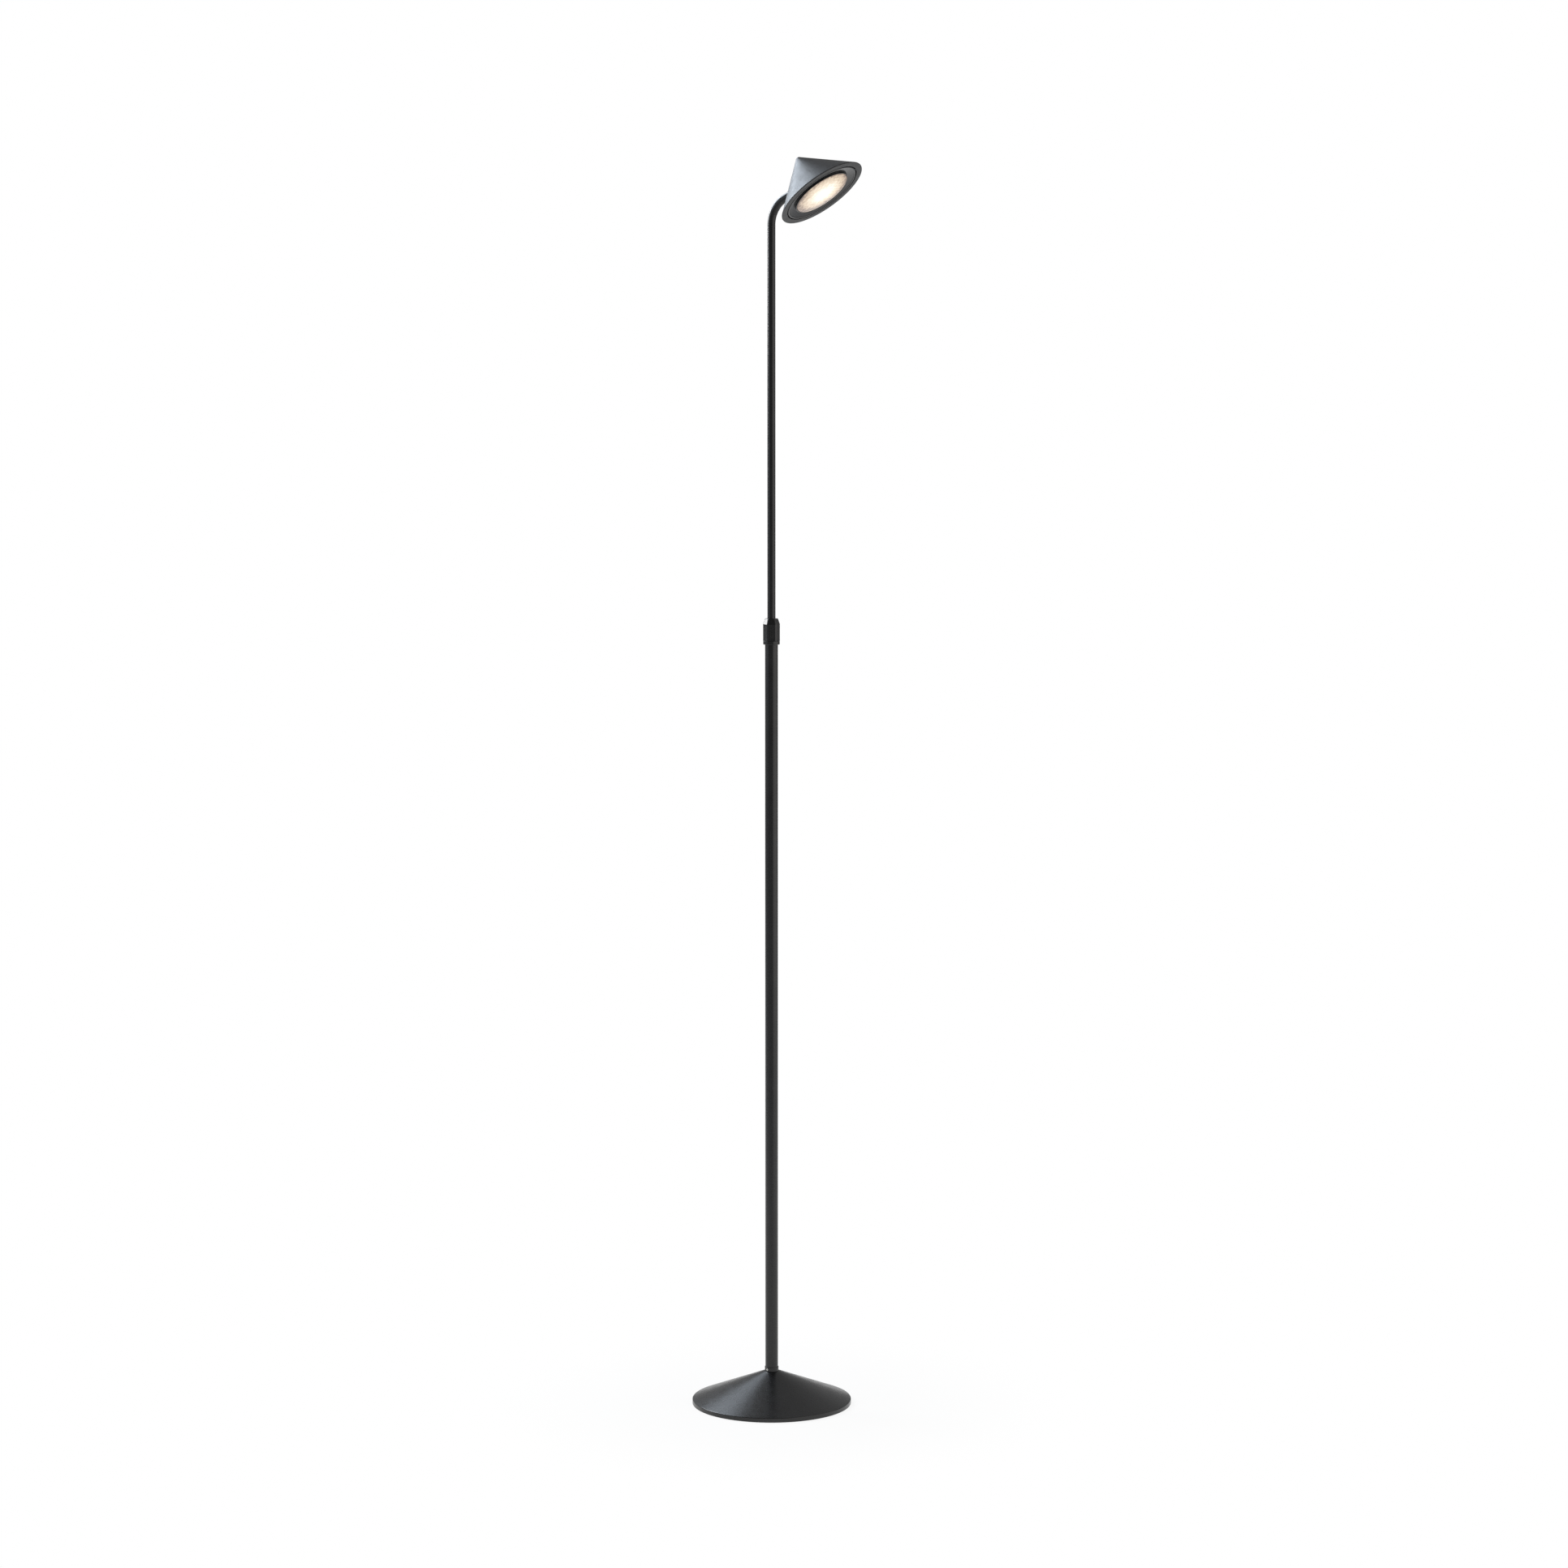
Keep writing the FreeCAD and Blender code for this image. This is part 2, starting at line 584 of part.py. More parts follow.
def cord_grommet():
    """Rubber block in the rim's notch, with an oblong passage for a flat cord."""
    side = NOTCH_W / 2 - FIT
    plug = box(-BASE_R + FIT, -SKIRT_IN_R, -side, side, RIM_LIFT, NOTCH_TOP - FIT)
    reach = side + GROMMET_FLANGE
    inside = FIT - math.sqrt(SKIRT_IN_R ** 2 - reach ** 2)
    flange = box(inside, inside + GROMMET_FLANGE_T, -reach, reach, RIM_LIFT, NOTCH_TOP - GROMMET_WALL)
    neck = box(-SKIRT_IN_R, inside, -side, side, RIM_LIFT, NOTCH_TOP - GROMMET_WALL)
    floor = RIM_LIFT + GROMMET_WALL
    radius = CORD_T / 2
    side = CORD_W / 2 - radius
    back = -BASE_R - 1
    front = inside + GROMMET_FLANGE_T + 1
    passage = box(back, front, -side, side, floor, floor + CORD_T)
    ends = [rod(radius, Vector(back, y, floor + radius), Vector(front, y, floor + radius))
            for y in (-side, side)]
    return plug.fuse([flange, neck]).cut([passage] + ends).removeSplitter()


def cord_clamp():
    """Bridge that squeezes the cord against the saddle block."""
    top = SADDLE_FOOT
    x0 = SADDLE_X - SADDLE_W / 2
    x1 = SADDLE_X + SADDLE_W / 2
    half = SADDLE_L / 2
    arch = CORD_W / 2 + CLAMP_T
    feet = [box(x0, x1, -half, -CORD_W / 2, top - CLAMP_T, top),
            box(x0, x1, CORD_W / 2, half, top - CLAMP_T, top)]
    bridge = box(x0, x1, -arch, arch, top - CORD_T - CLAMP_T, top)
    bridge = bridge.cut(box(x0 - 1, x1 + 1, -CORD_W / 2, CORD_W / 2, top - CORD_T, top + 1))
    bore = cylinder(SCREW_D / 2 + FIT, -CLAMP_T - 1, 1)
    holes = [moved(bore, x, y, z) for x, y, z in clamp_screw_places()]
    return bridge.fuse(feet).cut(holes).removeSplitter()


def clamp_screws():
    return [moved(pan_screw(SCREW_L), x, y, z - CLAMP_T) for x, y, z in clamp_screw_places()]


def led_driver():
    """Flat driver box with a tab at each end."""
    case = box(DRIVER_IN, DRIVER_OUT, -DRIVER_L / 2, DRIVER_L / 2, DRIVER_FOOT, POCKET_TOP)
    upright = [e for e in case.Edges if abs(e.tangentAt(e.FirstParameter).z) > 0.9]
    case = case.makeFillet(DRIVER_ROUND, upright)
    reach = DRIVER_L / 2 + DRIVER_TAB
    tabs = box(DRIVER_IN, DRIVER_IN + DRIVER_TAB_W, -reach, reach, POCKET_TOP - DRIVER_TAB_T, POCKET_TOP)
    bore = cylinder(SCREW_D / 2 + FIT, -DRIVER_TAB_T - 1, 1)
    holes = [moved(bore, x, y, z) for x, y, z in driver_screw_places()]
    return case.fuse(tabs).cut(holes).removeSplitter()


def driver_screws():
    return [moved(pan_screw(SCREW_L), x, y, z - DRIVER_TAB_T) for x, y, z in driver_screw_places()]


# ---------------------------------------------------------------- lower pole and clamp
def lower_tube():
    return ring(LOWER_R, LOWER_IN_R, CROWN_Z, LOWER_TOP).cut(grub_hole())


def clamp_body():
    """Spigot in the pole, smooth band on its end, and the threaded sleeve that the nut turns on."""
    pocket = COLLET_D / 2 + FIT
    return turned([
        (PASS_R, SPIGOT_FOOT), (LOWER_IN_R - FIT, SPIGOT_FOOT, 0.5), (LOWER_IN_R - FIT, LOWER_TOP),
        (BAND_D / 2, LOWER_TOP, 0.5), (BAND_D / 2, LOWER_TOP + BAND_H, 0.4),
        (SLEEVE_D / 2, LOWER_TOP + BAND_H), (SLEEVE_D / 2, SLEEVE_TOP, 0.4), (pocket, SLEEVE_TOP),
        (pocket, SLEEVE_TOP - COLLET_TAIL - PLAY), (PASS_R, SLEEVE_TOP - COLLET_TAIL - PLAY)])


def tube_guide():
    """Plastic guide under the clamp, in which the upper pole slides."""
    return ring(LOWER_IN_R - FIT, UPPER_R + FIT, GUIDE_FOOT, SPIGOT_FOOT)


def collet():
    """Split ring that the nut's cone squeezes on the upper pole."""
    bore = UPPER_R + FIT
    flange = SLEEVE_TOP + PLAY
    body = turned([
        (bore, flange - COLLET_TAIL), (COLLET_D / 2, flange - COLLET_TAIL), (COLLET_D / 2, flange),
        (COLLET_HEAD_D / 2, flange), (COLLET_HEAD_D / 2, flange + COLLET_RIM),
        (UPPER_R + COLLET_TIP, flange + COLLET_RIM + COLLET_CONE), (bore, flange + COLLET_RIM + COLLET_CONE)])
    slit = box(0, COLLET_HEAD_D, -COLLET_SLIT_W / 2, COLLET_SLIT_W / 2,
               flange - COLLET_TAIL / 2, flange + COLLET_RIM + COLLET_CONE + 1)
    return body.cut(around(slit, COLLET_SLITS, COLLET_SLIT_TURN))


def lock_nut():
    """Six sided nut with rounded corners, a flat slope on top of each side and a cone inside."""
    slope_foot = NUT_TOP - NUT_CHAMFER_H
    top_r = NUT_TOP_AF / 2 * NUT_D / NUT_AF
    outside = turned([(0, NUT_FOOT), (NUT_D / 2, NUT_FOOT, 0.4), (NUT_D / 2, slope_foot),
                      (top_r, NUT_TOP), (0, NUT_TOP)])
    sides = hexagon(NUT_AF, NUT_FOOT - 1, slope_foot, NUT_TURN)
    slopes = hexagon_taper(NUT_AF, NUT_TOP_AF, slope_foot, NUT_TOP, NUT_TURN)
    body = outside.common(sides.fuse(slopes).removeSplitter())
    thread = SLEEVE_D / 2 + FIT
    cone_foot = SLEEVE_TOP + 2 * PLAY + COLLET_RIM
    cone_top = cone_foot + COLLET_CONE
    cavity = turned([
        (0, NUT_FOOT - 1), (thread, NUT_FOOT - 1), (thread, cone_foot), (COLLET_HEAD_D / 2 + PLAY, cone_foot),
        (UPPER_R + COLLET_TIP + PLAY, cone_top), (PASS_R, cone_top), (PASS_R, NUT_TOP + 1), (0, NUT_TOP + 1)])
    return body.cut(cavity)


# ---------------------------------------------------------------- upper pole
def upper_tube():
    """Thin pole with the bent neck in one piece, grooved for the circlip."""
    tube = neck_rod(UPPER_R, UPPER_FOOT, SHANK_L).cut(neck_rod(UPPER_IN_R, UPPER_FOOT, SHANK_L))
    groove = ring(UPPER_R + 1, UPPER_R - CLIP_GROOVE, CLIP_TOP - CLIP_T, CLIP_TOP)
    return tube.cut([groove, at_knuckle(block_screw_hole())])


def stop_ring():
    """Ring pressed on the pole, which meets the guide at full height."""
    return ring(STOP_D / 2, UPPER_R + FIT, STOP_TOP - STOP_H, STOP_TOP)


def guide_bush():
    """Plastic bush in which the pole's lower end turns, and which slides in the lower pole."""
    return ring(LOWER_IN_R - FIT, UPPER_R + FIT, BUSH_TOP - BUSH_L, BUSH_TOP)


def stem_circlip():
    """Open ring in the pole's groove, under the bush."""
    z0 = CLIP_TOP - CLIP_T + FIT
    clip = ring(CLIP_D / 2, UPPER_R - CLIP_GROOVE + FIT, z0, CLIP_TOP)
    return clip.cut(box(0, CLIP_D, -CLIP_MOUTH / 2, CLIP_MOUTH / 2, z0 - 1, CLIP_TOP + 1))


# ---------------------------------------------------------------- low voltage lead
def base_lead():
    """From the driver across the pocket and up through the hollow stud."""
    radius = LEAD_D / 2
    low = STUD_FOOT - LEAD_D
    flat = rod(radius, Vector(DRIVER_IN, 0, low), Vector(LEAD_BEND_R, 0, low))
    disc = Part.Face(Part.Wire(Part.makeCircle(radius, Vector(LEAD_BEND_R, 0, low), X)))
    bend = disc.revolve(Vector(LEAD_BEND_R, 0, low + LEAD_BEND_R), Y, 90)
    upright = cylinder(radius, low + LEAD_BEND_R, CROWN_Z + PLUG_L + COIL_GAP)
    return flat.fuse([bend, upright]).removeSplitter()


def coil_lead():
    """Outer shape of the coiled stretch that lengthens as the pole slides."""
    return cylinder(COIL_D / 2, CROWN_Z + PLUG_L + COIL_GAP, UPPER_FOOT)


def stem_lead():
    """Straight up the pole and round the neck to the hollow axle."""
    return neck_rod(LEAD_D / 2, UPPER_FOOT, AXLE_BORE_D / 2)


# ---------------------------------------------------------------- knuckle, in its own frame
def block_screw_hole():
    """Radial hole for the set screw of the knuckle, on the neck's lower side."""
    middle = SHANK_L + KNUCKLE_SPIGOT_L / 2
    return rod(GRUB_D / 2 + FIT, Vector(middle, 0, KNUCKLE_BORE_D / 2 - 1), Vector(middle, 0, UPPER_R + 1))


def pivot_block():
    """Eye for the axle, a shank and a spigot in the neck, drilled through for the lead."""
    eye = rod(EYE_D / 2, Y * (-EYE_W / 2), Y * (EYE_W / 2))
    shank = rod(SHANK_D / 2, ORIGIN, X * SHANK_L)
    shank = shank.common(box(-1, SHANK_L + 1, -EYE_W / 2, EYE_W / 2, -SHANK_D, SHANK_D))
    spigot = rod(UPPER_IN_R - FIT, ORIGIN, X * (SHANK_L + KNUCKLE_SPIGOT_L))
    axle_hole = rod(AXLE_D / 2 + FIT, Y * -EYE_W, Y * EYE_W)
    lead_hole = rod(KNUCKLE_BORE_D / 2, ORIGIN, X * (SHANK_L + KNUCKLE_SPIGOT_L + 1))
    block = eye.fuse([shank, spigot]).cut([axle_hole, lead_hole, block_screw_hole()])
    return at_knuckle(block.removeSplitter())


def block_screw():
    """Set screw that holds the knuckle in the neck."""
    middle = SHANK_L + KNUCKLE_SPIGOT_L / 2
    foot = Vector(middle, 0, KNUCKLE_BORE_D / 2 + FIT)
    return at_knuckle(rod(GRUB_D / 2, foot, Vector(middle, 0, UPPER_R - PLAY)))


def pivot_sleeve():
    """Hollow axle, with a window for the lead in its middle."""
    tube = rod(AXLE_D / 2, Y * -AXLE_HALF, Y * AXLE_HALF)
    bore = rod(AXLE_BORE_D / 2, Y * (-AXLE_HALF - 1), Y * (AXLE_HALF + 1))
    window = rod(AXLE_BORE_D / 2, ORIGIN, X * AXLE_D)
    return at_knuckle(tube.cut([bore, window]))


def axle_pair(shape, inner):
    """A shape on +Z from zero, set on both ends of the axle from the given distance outward."""
    right = moved(shape, 0, 0, inner)
    right.rotate(ORIGIN, X, -90)
    left = moved(shape, 0, 0, inner)
    left.rotate(ORIGIN, X, 90)
    return [at_knuckle(right), at_knuckle(left)]


def friction_discs():
    """Discs between the eye and the fork."""
    return axle_pair(ring(EYE_D / 2, AXLE_D / 2 + FIT, 0, DISC_T), EYE_W / 2)


def axle_washers():
    return axle_pair(ring(AXLE_WASHER_D / 2, AXLE_D / 2 + FIT, 0, AXLE_WASHER_T), YOKE_OUT + FIT)


def axle_nuts():
    nut = hexagon(AXLE_NUT_AF, 0, AXLE_NUT_H).cut(cylinder(AXLE_D / 2 + FIT, -1, AXLE_NUT_H + 1))
    return axle_pair(nut, YOKE_OUT + FIT + AXLE_WASHER_T)


# ---------------------------------------------------------------- head, in its own frame
def neck_slot():
    """Room that the neck sweeps in the shade's wall from one end of the tilt to the other."""
    reach = MOUTH_R
    radius = UPPER_R + SLOT_ROOM
    rest = NECK_TURN - HEAD_DOWN
    ends = []
    for turn in (rest - TILT_DOWN, rest + TILT_UP):
        end = rod(radius, X * (EYE_D / 2), X * reach)
        end.rotate(ORIGIN, Y, turn)
        ends.append(end)
    sheet = Part.Face(Part.makePolygon([
        Vector(EYE_D / 2, -radius, 0), Vector(reach, -radius, 0), Vector(reach, radius, 0),
        Vector(EYE_D / 2, radius, 0), Vector(EYE_D / 2, -radius, 0)]))
    sheet.rotate(ORIGIN, Y, rest - TILT_DOWN)
    fan = sheet.revolve(ORIGIN, Y, TILT_DOWN + TILT_UP)
    return moved(ends[0].fuse([ends[1], fan]), PIVOT_SIDE, 0, -PIVOT_BACK)


def shade():
    """Conical sheet with a blunt tip, a flange turned in at its mouth and a slot for the neck."""
    tip = -SHADE_H + SHADE_TIP_R / CONE_SLOPE
    inner_tip = tip + SHADE_WALL
    flange_r = FLANGE_D / 2
    shell = turned([
        (0, tip), (SHADE_TIP_R, tip, SHADE_TIP_R / 2), (MOUTH_R, 0, SHADE_LIP_R), (flange_r, 0, 0.3),
        (flange_r, -SHADE_WALL), (cone_side(-SHADE_WALL, WALL_SIDE), -SHADE_WALL, 0.4),
        (cone_side(inner_tip, WALL_SIDE), inner_tip), (0, inner_tip)])
    return at_head(shell.cut(neck_slot()))


def inner_cone():
    """The space inside the shade's wall."""
    height = SHADE_H - WALL_SIDE / CONE_SLOPE
    return cone(0, cone_side(0, WALL_SIDE), -height, 0)


def trim_ring():
    """Ring in the mouth: a bead, a shallow dish, a thin lip round the lens and a ledge behind it."""
    outer = FLANGE_D / 2 - TRIM_GAP
    dish_out = DISH_OUT_D / 2
    dish_in = DISH_IN_D / 2
    lens_wall = LENS_D / 2 + LENS_GAP
    ledge_front = -LENS_BACK - GASKET_T
    ledge_in = LENS_D / 2 - GASKET_W
    lip = LIP_UP - DISH_DEEP
    body = turned([
        (outer, -TRIM_SKIRT), (outer, 0, BEAD_W / 2.4), (dish_out + 0.2, 0, BEAD_W / 2.4),
        (dish_out - 0.3, -DISH_EDGE, 0.4), (dish_in, -DISH_DEEP, 0.3), (dish_in - 0.2, lip, 0.2),
        (lens_wall, lip, 0.2), (lens_wall, ledge_front), (ledge_in, ledge_front),
        (ledge_in, ledge_front - LEDGE_T), (lens_wall + TRIM_WALL, ledge_front - LEDGE_T),
        (lens_wall + TRIM_WALL, -DISH_DEEP - TRIM_WALL), (dish_out - 0.6, -DISH_EDGE - TRIM_WALL),
        (outer - TRIM_WALL, -DISH_EDGE - TRIM_WALL), (outer - TRIM_WALL, -TRIM_SKIRT)])
    return at_head(body)


def trim_clips():
    """Spring hooks on the trim ring's wall that hold behind the shade's flange."""
    wall = FLANGE_D / 2 - TRIM_GAP
    hook = box(wall - 1, wall + TRIM_CLIP_REACH, -TRIM_CLIP_W / 2, TRIM_CLIP_W / 2,
               -SHADE_WALL - TRIM_CLIP_DROP, -SHADE_WALL)
    hook = hook.cut(cylinder(wall, -TRIM_SKIRT - 1, 1))
    return [at_head(h) for h in around(hook, CLIP_COUNT, TRIM_CLIP_TURN)]


def lens_gasket():
    outer = LENS_D / 2
    return at_head(ring(outer, outer - GASKET_W, -LENS_BACK - GASKET_T, -LENS_BACK))


def glass_lens():
    """Lens with a flat back, an upright edge and a low dome in front."""
    radius = LENS_D / 2
    edge = LENS_EDGE - LENS_BACK
    crown = edge + LENS_CROWN
    sphere = (radius ** 2 + LENS_CROWN ** 2) / (2 * LENS_CROWN)
    half = math.asin(radius / sphere) / 2
    middle = Vector(sphere * math.sin(half), 0, crown - sphere * (1 - math.cos(half)))
    dome = Part.Arc(Vector(radius, 0, edge), middle, Vector(0, 0, crown)).toShape()
    lines = [Part.LineSegment(Vector(0, 0, crown), Vector(0, 0, -LENS_BACK)).toShape(),
             Part.LineSegment(Vector(0, 0, -LENS_BACK), Vector(radius, 0, -LENS_BACK)).toShape(),
             Part.LineSegment(Vector(radius, 0, -LENS_BACK), Vector(radius, 0, edge)).toShape()]
    return at_head(Part.Face(Part.Wire(lines + [dome])).revolve(ORIGIN, Z, 360))


def reflector():
    """Conical reflector from the board to the ledge behind the lens."""
    front = -LENS_BACK - GASKET_T - LEDGE_T
    board = BOARD_T - PLATE_FRONT
    body = turned([
        (REFLECTOR_EYE_D / 2, board), (REFLECTOR_EYE_D / 2 + REFLECTOR_WALL, board),
        (REFLECTOR_MOUTH_D / 2 + REFLECTOR_WALL, front - REFLECTOR_WALL),
        (REFLECTOR_D / 2, front - REFLECTOR_WALL), (REFLECTOR_D / 2, front), (REFLECTOR_MOUTH_D / 2, front)])
    return at_head(body)


def led_board():
    """Round board on the heat plate, countersunk for its screws."""
    disc = cylinder(BOARD_D / 2, -PLATE_FRONT, BOARD_T - PLATE_FRONT)
    sink = flipped(screw_room())
    sinks = [moved(sink, x, 0, BOARD_T - PLATE_FRONT) for x in board_screw_sides()]
    return at_head(disc.cut(sinks))


def screw_room():
    """Room for a low countersunk screw, its face at z = 0."""
    return cone(SCREW_D * 0.75 + FIT, SCREW_D / 2 + FIT, 0, SCREW_D / 4).fuse(
        cylinder(SCREW_D / 2 + FIT, -1, BOARD_T + HEAT_PLATE_T + 1))


def board_screw_sides():
    """Sides of the board that hold its two screws."""
    reach = (BOARD_D + EMITTER_D) / 4 + BOARD_SCREW_OUT
    return (-reach, reach)


def board_screws():
    screw = flipped(countersunk(BOARD_T + HEAT_PLATE_T - PLAY, 1.5 * SCREW_D))
    return [at_head(moved(screw, x, 0, BOARD_T - PLATE_FRONT)) for x in board_screw_sides()]


def led_emitter():
    front = BOARD_T - PLATE_FRONT
    return at_head(cylinder(EMITTER_D / 2, front, front + EMITTER_T))


def lug_screw_places():
    """Where the heat plate's screws go, clear of the neck's slot."""
    return [math.radians(LUG_TURN + 360 * i / LUG_COUNT) for i in range(LUG_COUNT)]


def yoke_screw_places():
    """Where the fork's two screws go."""
    x = PIVOT_SIDE - YOKE_SCREW_FOOT
    return [(x, -YOKE_SCREW_SPREAD / 2), (x, YOKE_SCREW_SPREAD / 2)]


def heat_plate():
    """Round plate that carries the board in front and the fork behind."""
    plate = cylinder(HEAT_PLATE_R, -PLATE_BACK, -PLATE_FRONT)
    bore = cylinder(SCREW_D / 2 + FIT, -PLATE_BACK - 1, -PLATE_FRONT + 1)
    holes = [moved(bore, LUG_SCREW_R * math.cos(a), LUG_SCREW_R * math.sin(a), 0) for a in lug_screw_places()]
    holes += [moved(bore, x, y, 0) for x, y in yoke_screw_places()]
    holes += [moved(bore, x, 0, 0) for x in board_screw_sides()]
    holes += [moved(cylinder(LEAD_D / 2 + PLAY, -PLATE_BACK - 1, -PLATE_FRONT + 1), 0, board_lead_y(), 0)]
    return at_head(plate.cut(holes))


def board_lead_y():
    """Side of the plate where the lead passes it, under the terminal block and behind the board."""
    return (TERMINAL_Y + BOARD_D / 2) / 2


def shade_lugs():
    """Blocks welded inside the shade, drilled for the heat plate's screws."""
    lugs = []
    lug = box(LUG_IN_R, MOUTH_R, -LUG_W / 2, LUG_W / 2, -PLATE_BACK - LUG_T, -PLATE_BACK)
    lug = lug.cut(moved(cylinder(SCREW_D / 2 + FIT, -PLATE_BACK - LUG_T - 1, 0), LUG_SCREW_R, 0, 0))
    for copy in around(lug, LUG_COUNT, LUG_TURN):
        lugs.append(at_head(copy.common(inner_cone())))
    return lugs


def plate_screws():
    screw = flipped(pan_screw(HEAT_PLATE_T + LUG_T - PLAY))
    return [at_head(moved(screw, LUG_SCREW_R * math.cos(a), LUG_SCREW_R * math.sin(a), -PLATE_FRONT))
            for a in lug_screw_places()]


def pivot_yoke():
    """Fork on the heat plate: a foot and two ears with the axle's holes."""
    foot_x = PIVOT_SIDE - YOKE_FOOT
    foot = box(foot_x, PIVOT_SIDE + EYE_D / 2, -YOKE_OUT, YOKE_OUT, -YOKE_BACK, -PLATE_BACK)
    ears = []
    for y0 in (-YOKE_OUT, YOKE_IN):
        start = Vector(PIVOT_SIDE, y0, -PIVOT_BACK)
        ears.append(rod(EYE_D / 2, start, start + Y * YOKE_T))
        ears.append(box(PIVOT_SIDE - EYE_D / 2, PIVOT_SIDE + EYE_D / 2, y0, y0 + YOKE_T,
                        -PIVOT_BACK, -PLATE_BACK))
    middle = Vector(PIVOT_SIDE, 0, -PIVOT_BACK)
    axle = rod(AXLE_D / 2 + FIT, middle - Y * (2 * YOKE_OUT), middle + Y * (2 * YOKE_OUT))
    holes = [moved(cylinder(SCREW_D / 2 + FIT, -YOKE_BACK - 1, -PLATE_BACK + 1), x, y, 0)
             for x, y in yoke_screw_places()]
    return at_head(foot.fuse(ears).cut([axle] + holes).removeSplitter())


def yoke_screws():
    screw = pan_screw(YOKE_BASE_T + HEAT_PLATE_T - PLAY)
    return [at_head(moved(screw, x, y, -YOKE_BACK)) for x, y in yoke_screw_places()]


def heat_sink():
    """Finned block behind the heat plate."""
    block = box(SINK_X0, SINK_X1, -SINK_W / 2, SINK_W / 2, -PLATE_BACK - SINK_FLOOR, -PLATE_BACK)
    pitch = (SINK_W - SINK_FIN_T) / (SINK_FINS - 1)
    fins = []
    for i in range(SINK_FINS):
        y0 = -SINK_W / 2 + pitch * i
        fins.append(box(SINK_X0, SINK_X1, y0, y0 + SINK_FIN_T, -PLATE_BACK - SINK_H, -PLATE_BACK))
    rooms = [moved(cylinder(SCREW_D / 2 + PLAY, -PLATE_BACK - 1, -PLATE_BACK + 1), x, 0, 0)
             for x in board_screw_sides()]
    return at_head(block.fuse(fins).cut(rooms).removeSplitter())


def terminal_block():
    """Terminal block on the heat plate's back, beside the heat sink."""
    half = TERMINAL_L / 2
    block = box(-half, half, TERMINAL_Y, TERMINAL_END, -PLATE_BACK - TERMINAL_H, -PLATE_BACK)
    middle = (TERMINAL_Y + TERMINAL_END) / 2
    back = -PLATE_BACK - TERMINAL_H
    wells = [rod(TERMINAL_WELL_D / 2, Vector(x, middle, back), Vector(x, middle, back + TERMINAL_WELL_D))
             for x in (-half / 2, half / 2)]
    return at_head(block.cut(wells))


def head_lead():
    """From the middle of the axle out of its end and round to the terminal block."""
    radius = LEAD_D / 2
    turn_y = LEAD_SIDE - LEAD_TURN_R
    start = Vector(PIVOT_SIDE, -radius, -PIVOT_BACK)
    corner = Vector(PIVOT_SIDE, turn_y, -PIVOT_BACK)
    out = rod(radius, start, corner)
    disc = Part.Face(Part.Wire(Part.makeCircle(radius, corner, Y)))
    bend = disc.revolve(corner - X * LEAD_TURN_R, Z, 90)
    inward = rod(radius, Vector(PIVOT_SIDE - LEAD_TURN_R, LEAD_SIDE, -PIVOT_BACK),
                 Vector(TERMINAL_L / 2, LEAD_SIDE, -PIVOT_BACK))
    return at_head(out.fuse([bend, inward]).removeSplitter())


def board_lead():
    """Short lead from the terminal block through the heat plate to the board."""
    return at_head(moved(cylinder(LEAD_D / 2 - PLAY, -PLATE_BACK, -PLATE_FRONT), 0, board_lead_y(), 0))


# ---------------------------------------------------------------- write one file per piece
PIECES = [
    base_cover, base_weight, bottom_plate, bottom_screws, base_pad, foot_plug, base_washer, base_nut,
    foot_ring, grub_screw, cord_grommet, cord_clamp, clamp_screws, led_driver, driver_screws, base_lead,
    lower_tube, clamp_body, tube_guide, collet, coil_lead, lock_nut, guide_bush, upper_tube, stop_ring,
    stem_circlip, stem_lead, pivot_block, block_screw, pivot_sleeve, friction_discs, axle_washers, axle_nuts,
    shade, shade_lugs, heat_plate, plate_screws, pivot_yoke, yoke_screws, heat_sink, terminal_block,
    head_lead, board_lead, led_board, board_screws, led_emitter, reflector, lens_gasket, glass_lens,
    trim_ring, trim_clips]

os.makedirs("parts", exist_ok=True)
for piece in PIECES:
    shape = piece()
    if isinstance(shape, list):
        shape = Part.makeCompound(shape)
    name = piece.__name__
    if not shape.isValid() or not shape.Solids:
        raise ValueError(name + " is not a valid solid")
    shape.exportStep("parts/" + name + ".step")
    print(name, len(shape.Solids), round(shape.Volume, 1))

print("tilt axis", [round(v, 3) for v in PIVOT])
print("upper pole foot", round(UPPER_FOOT, 3), "nut", round(NUT_FOOT, 3), round(NUT_TOP, 3))
print("coil", round(CROWN_Z + PLUG_L + COIL_GAP, 3), round(UPPER_FOOT, 3))
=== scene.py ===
# %% [markdown]
# # A telescopic floor lamp, dressed in Blender
# The lamp is a heavy low cone with a thin black pole on it.  A nut half way up locks a thinner pole
# that slides in the first one, and a conical head tilts on the end of its bent neck.  Its outside
# is a handful of turned, drawn and spun sheets under one satin black coat, so nearly every piece
# here is a surface worked out on a grid of two parameters.  The hidden hardware keeps the shape
# that it comes with and only gets its real finish.

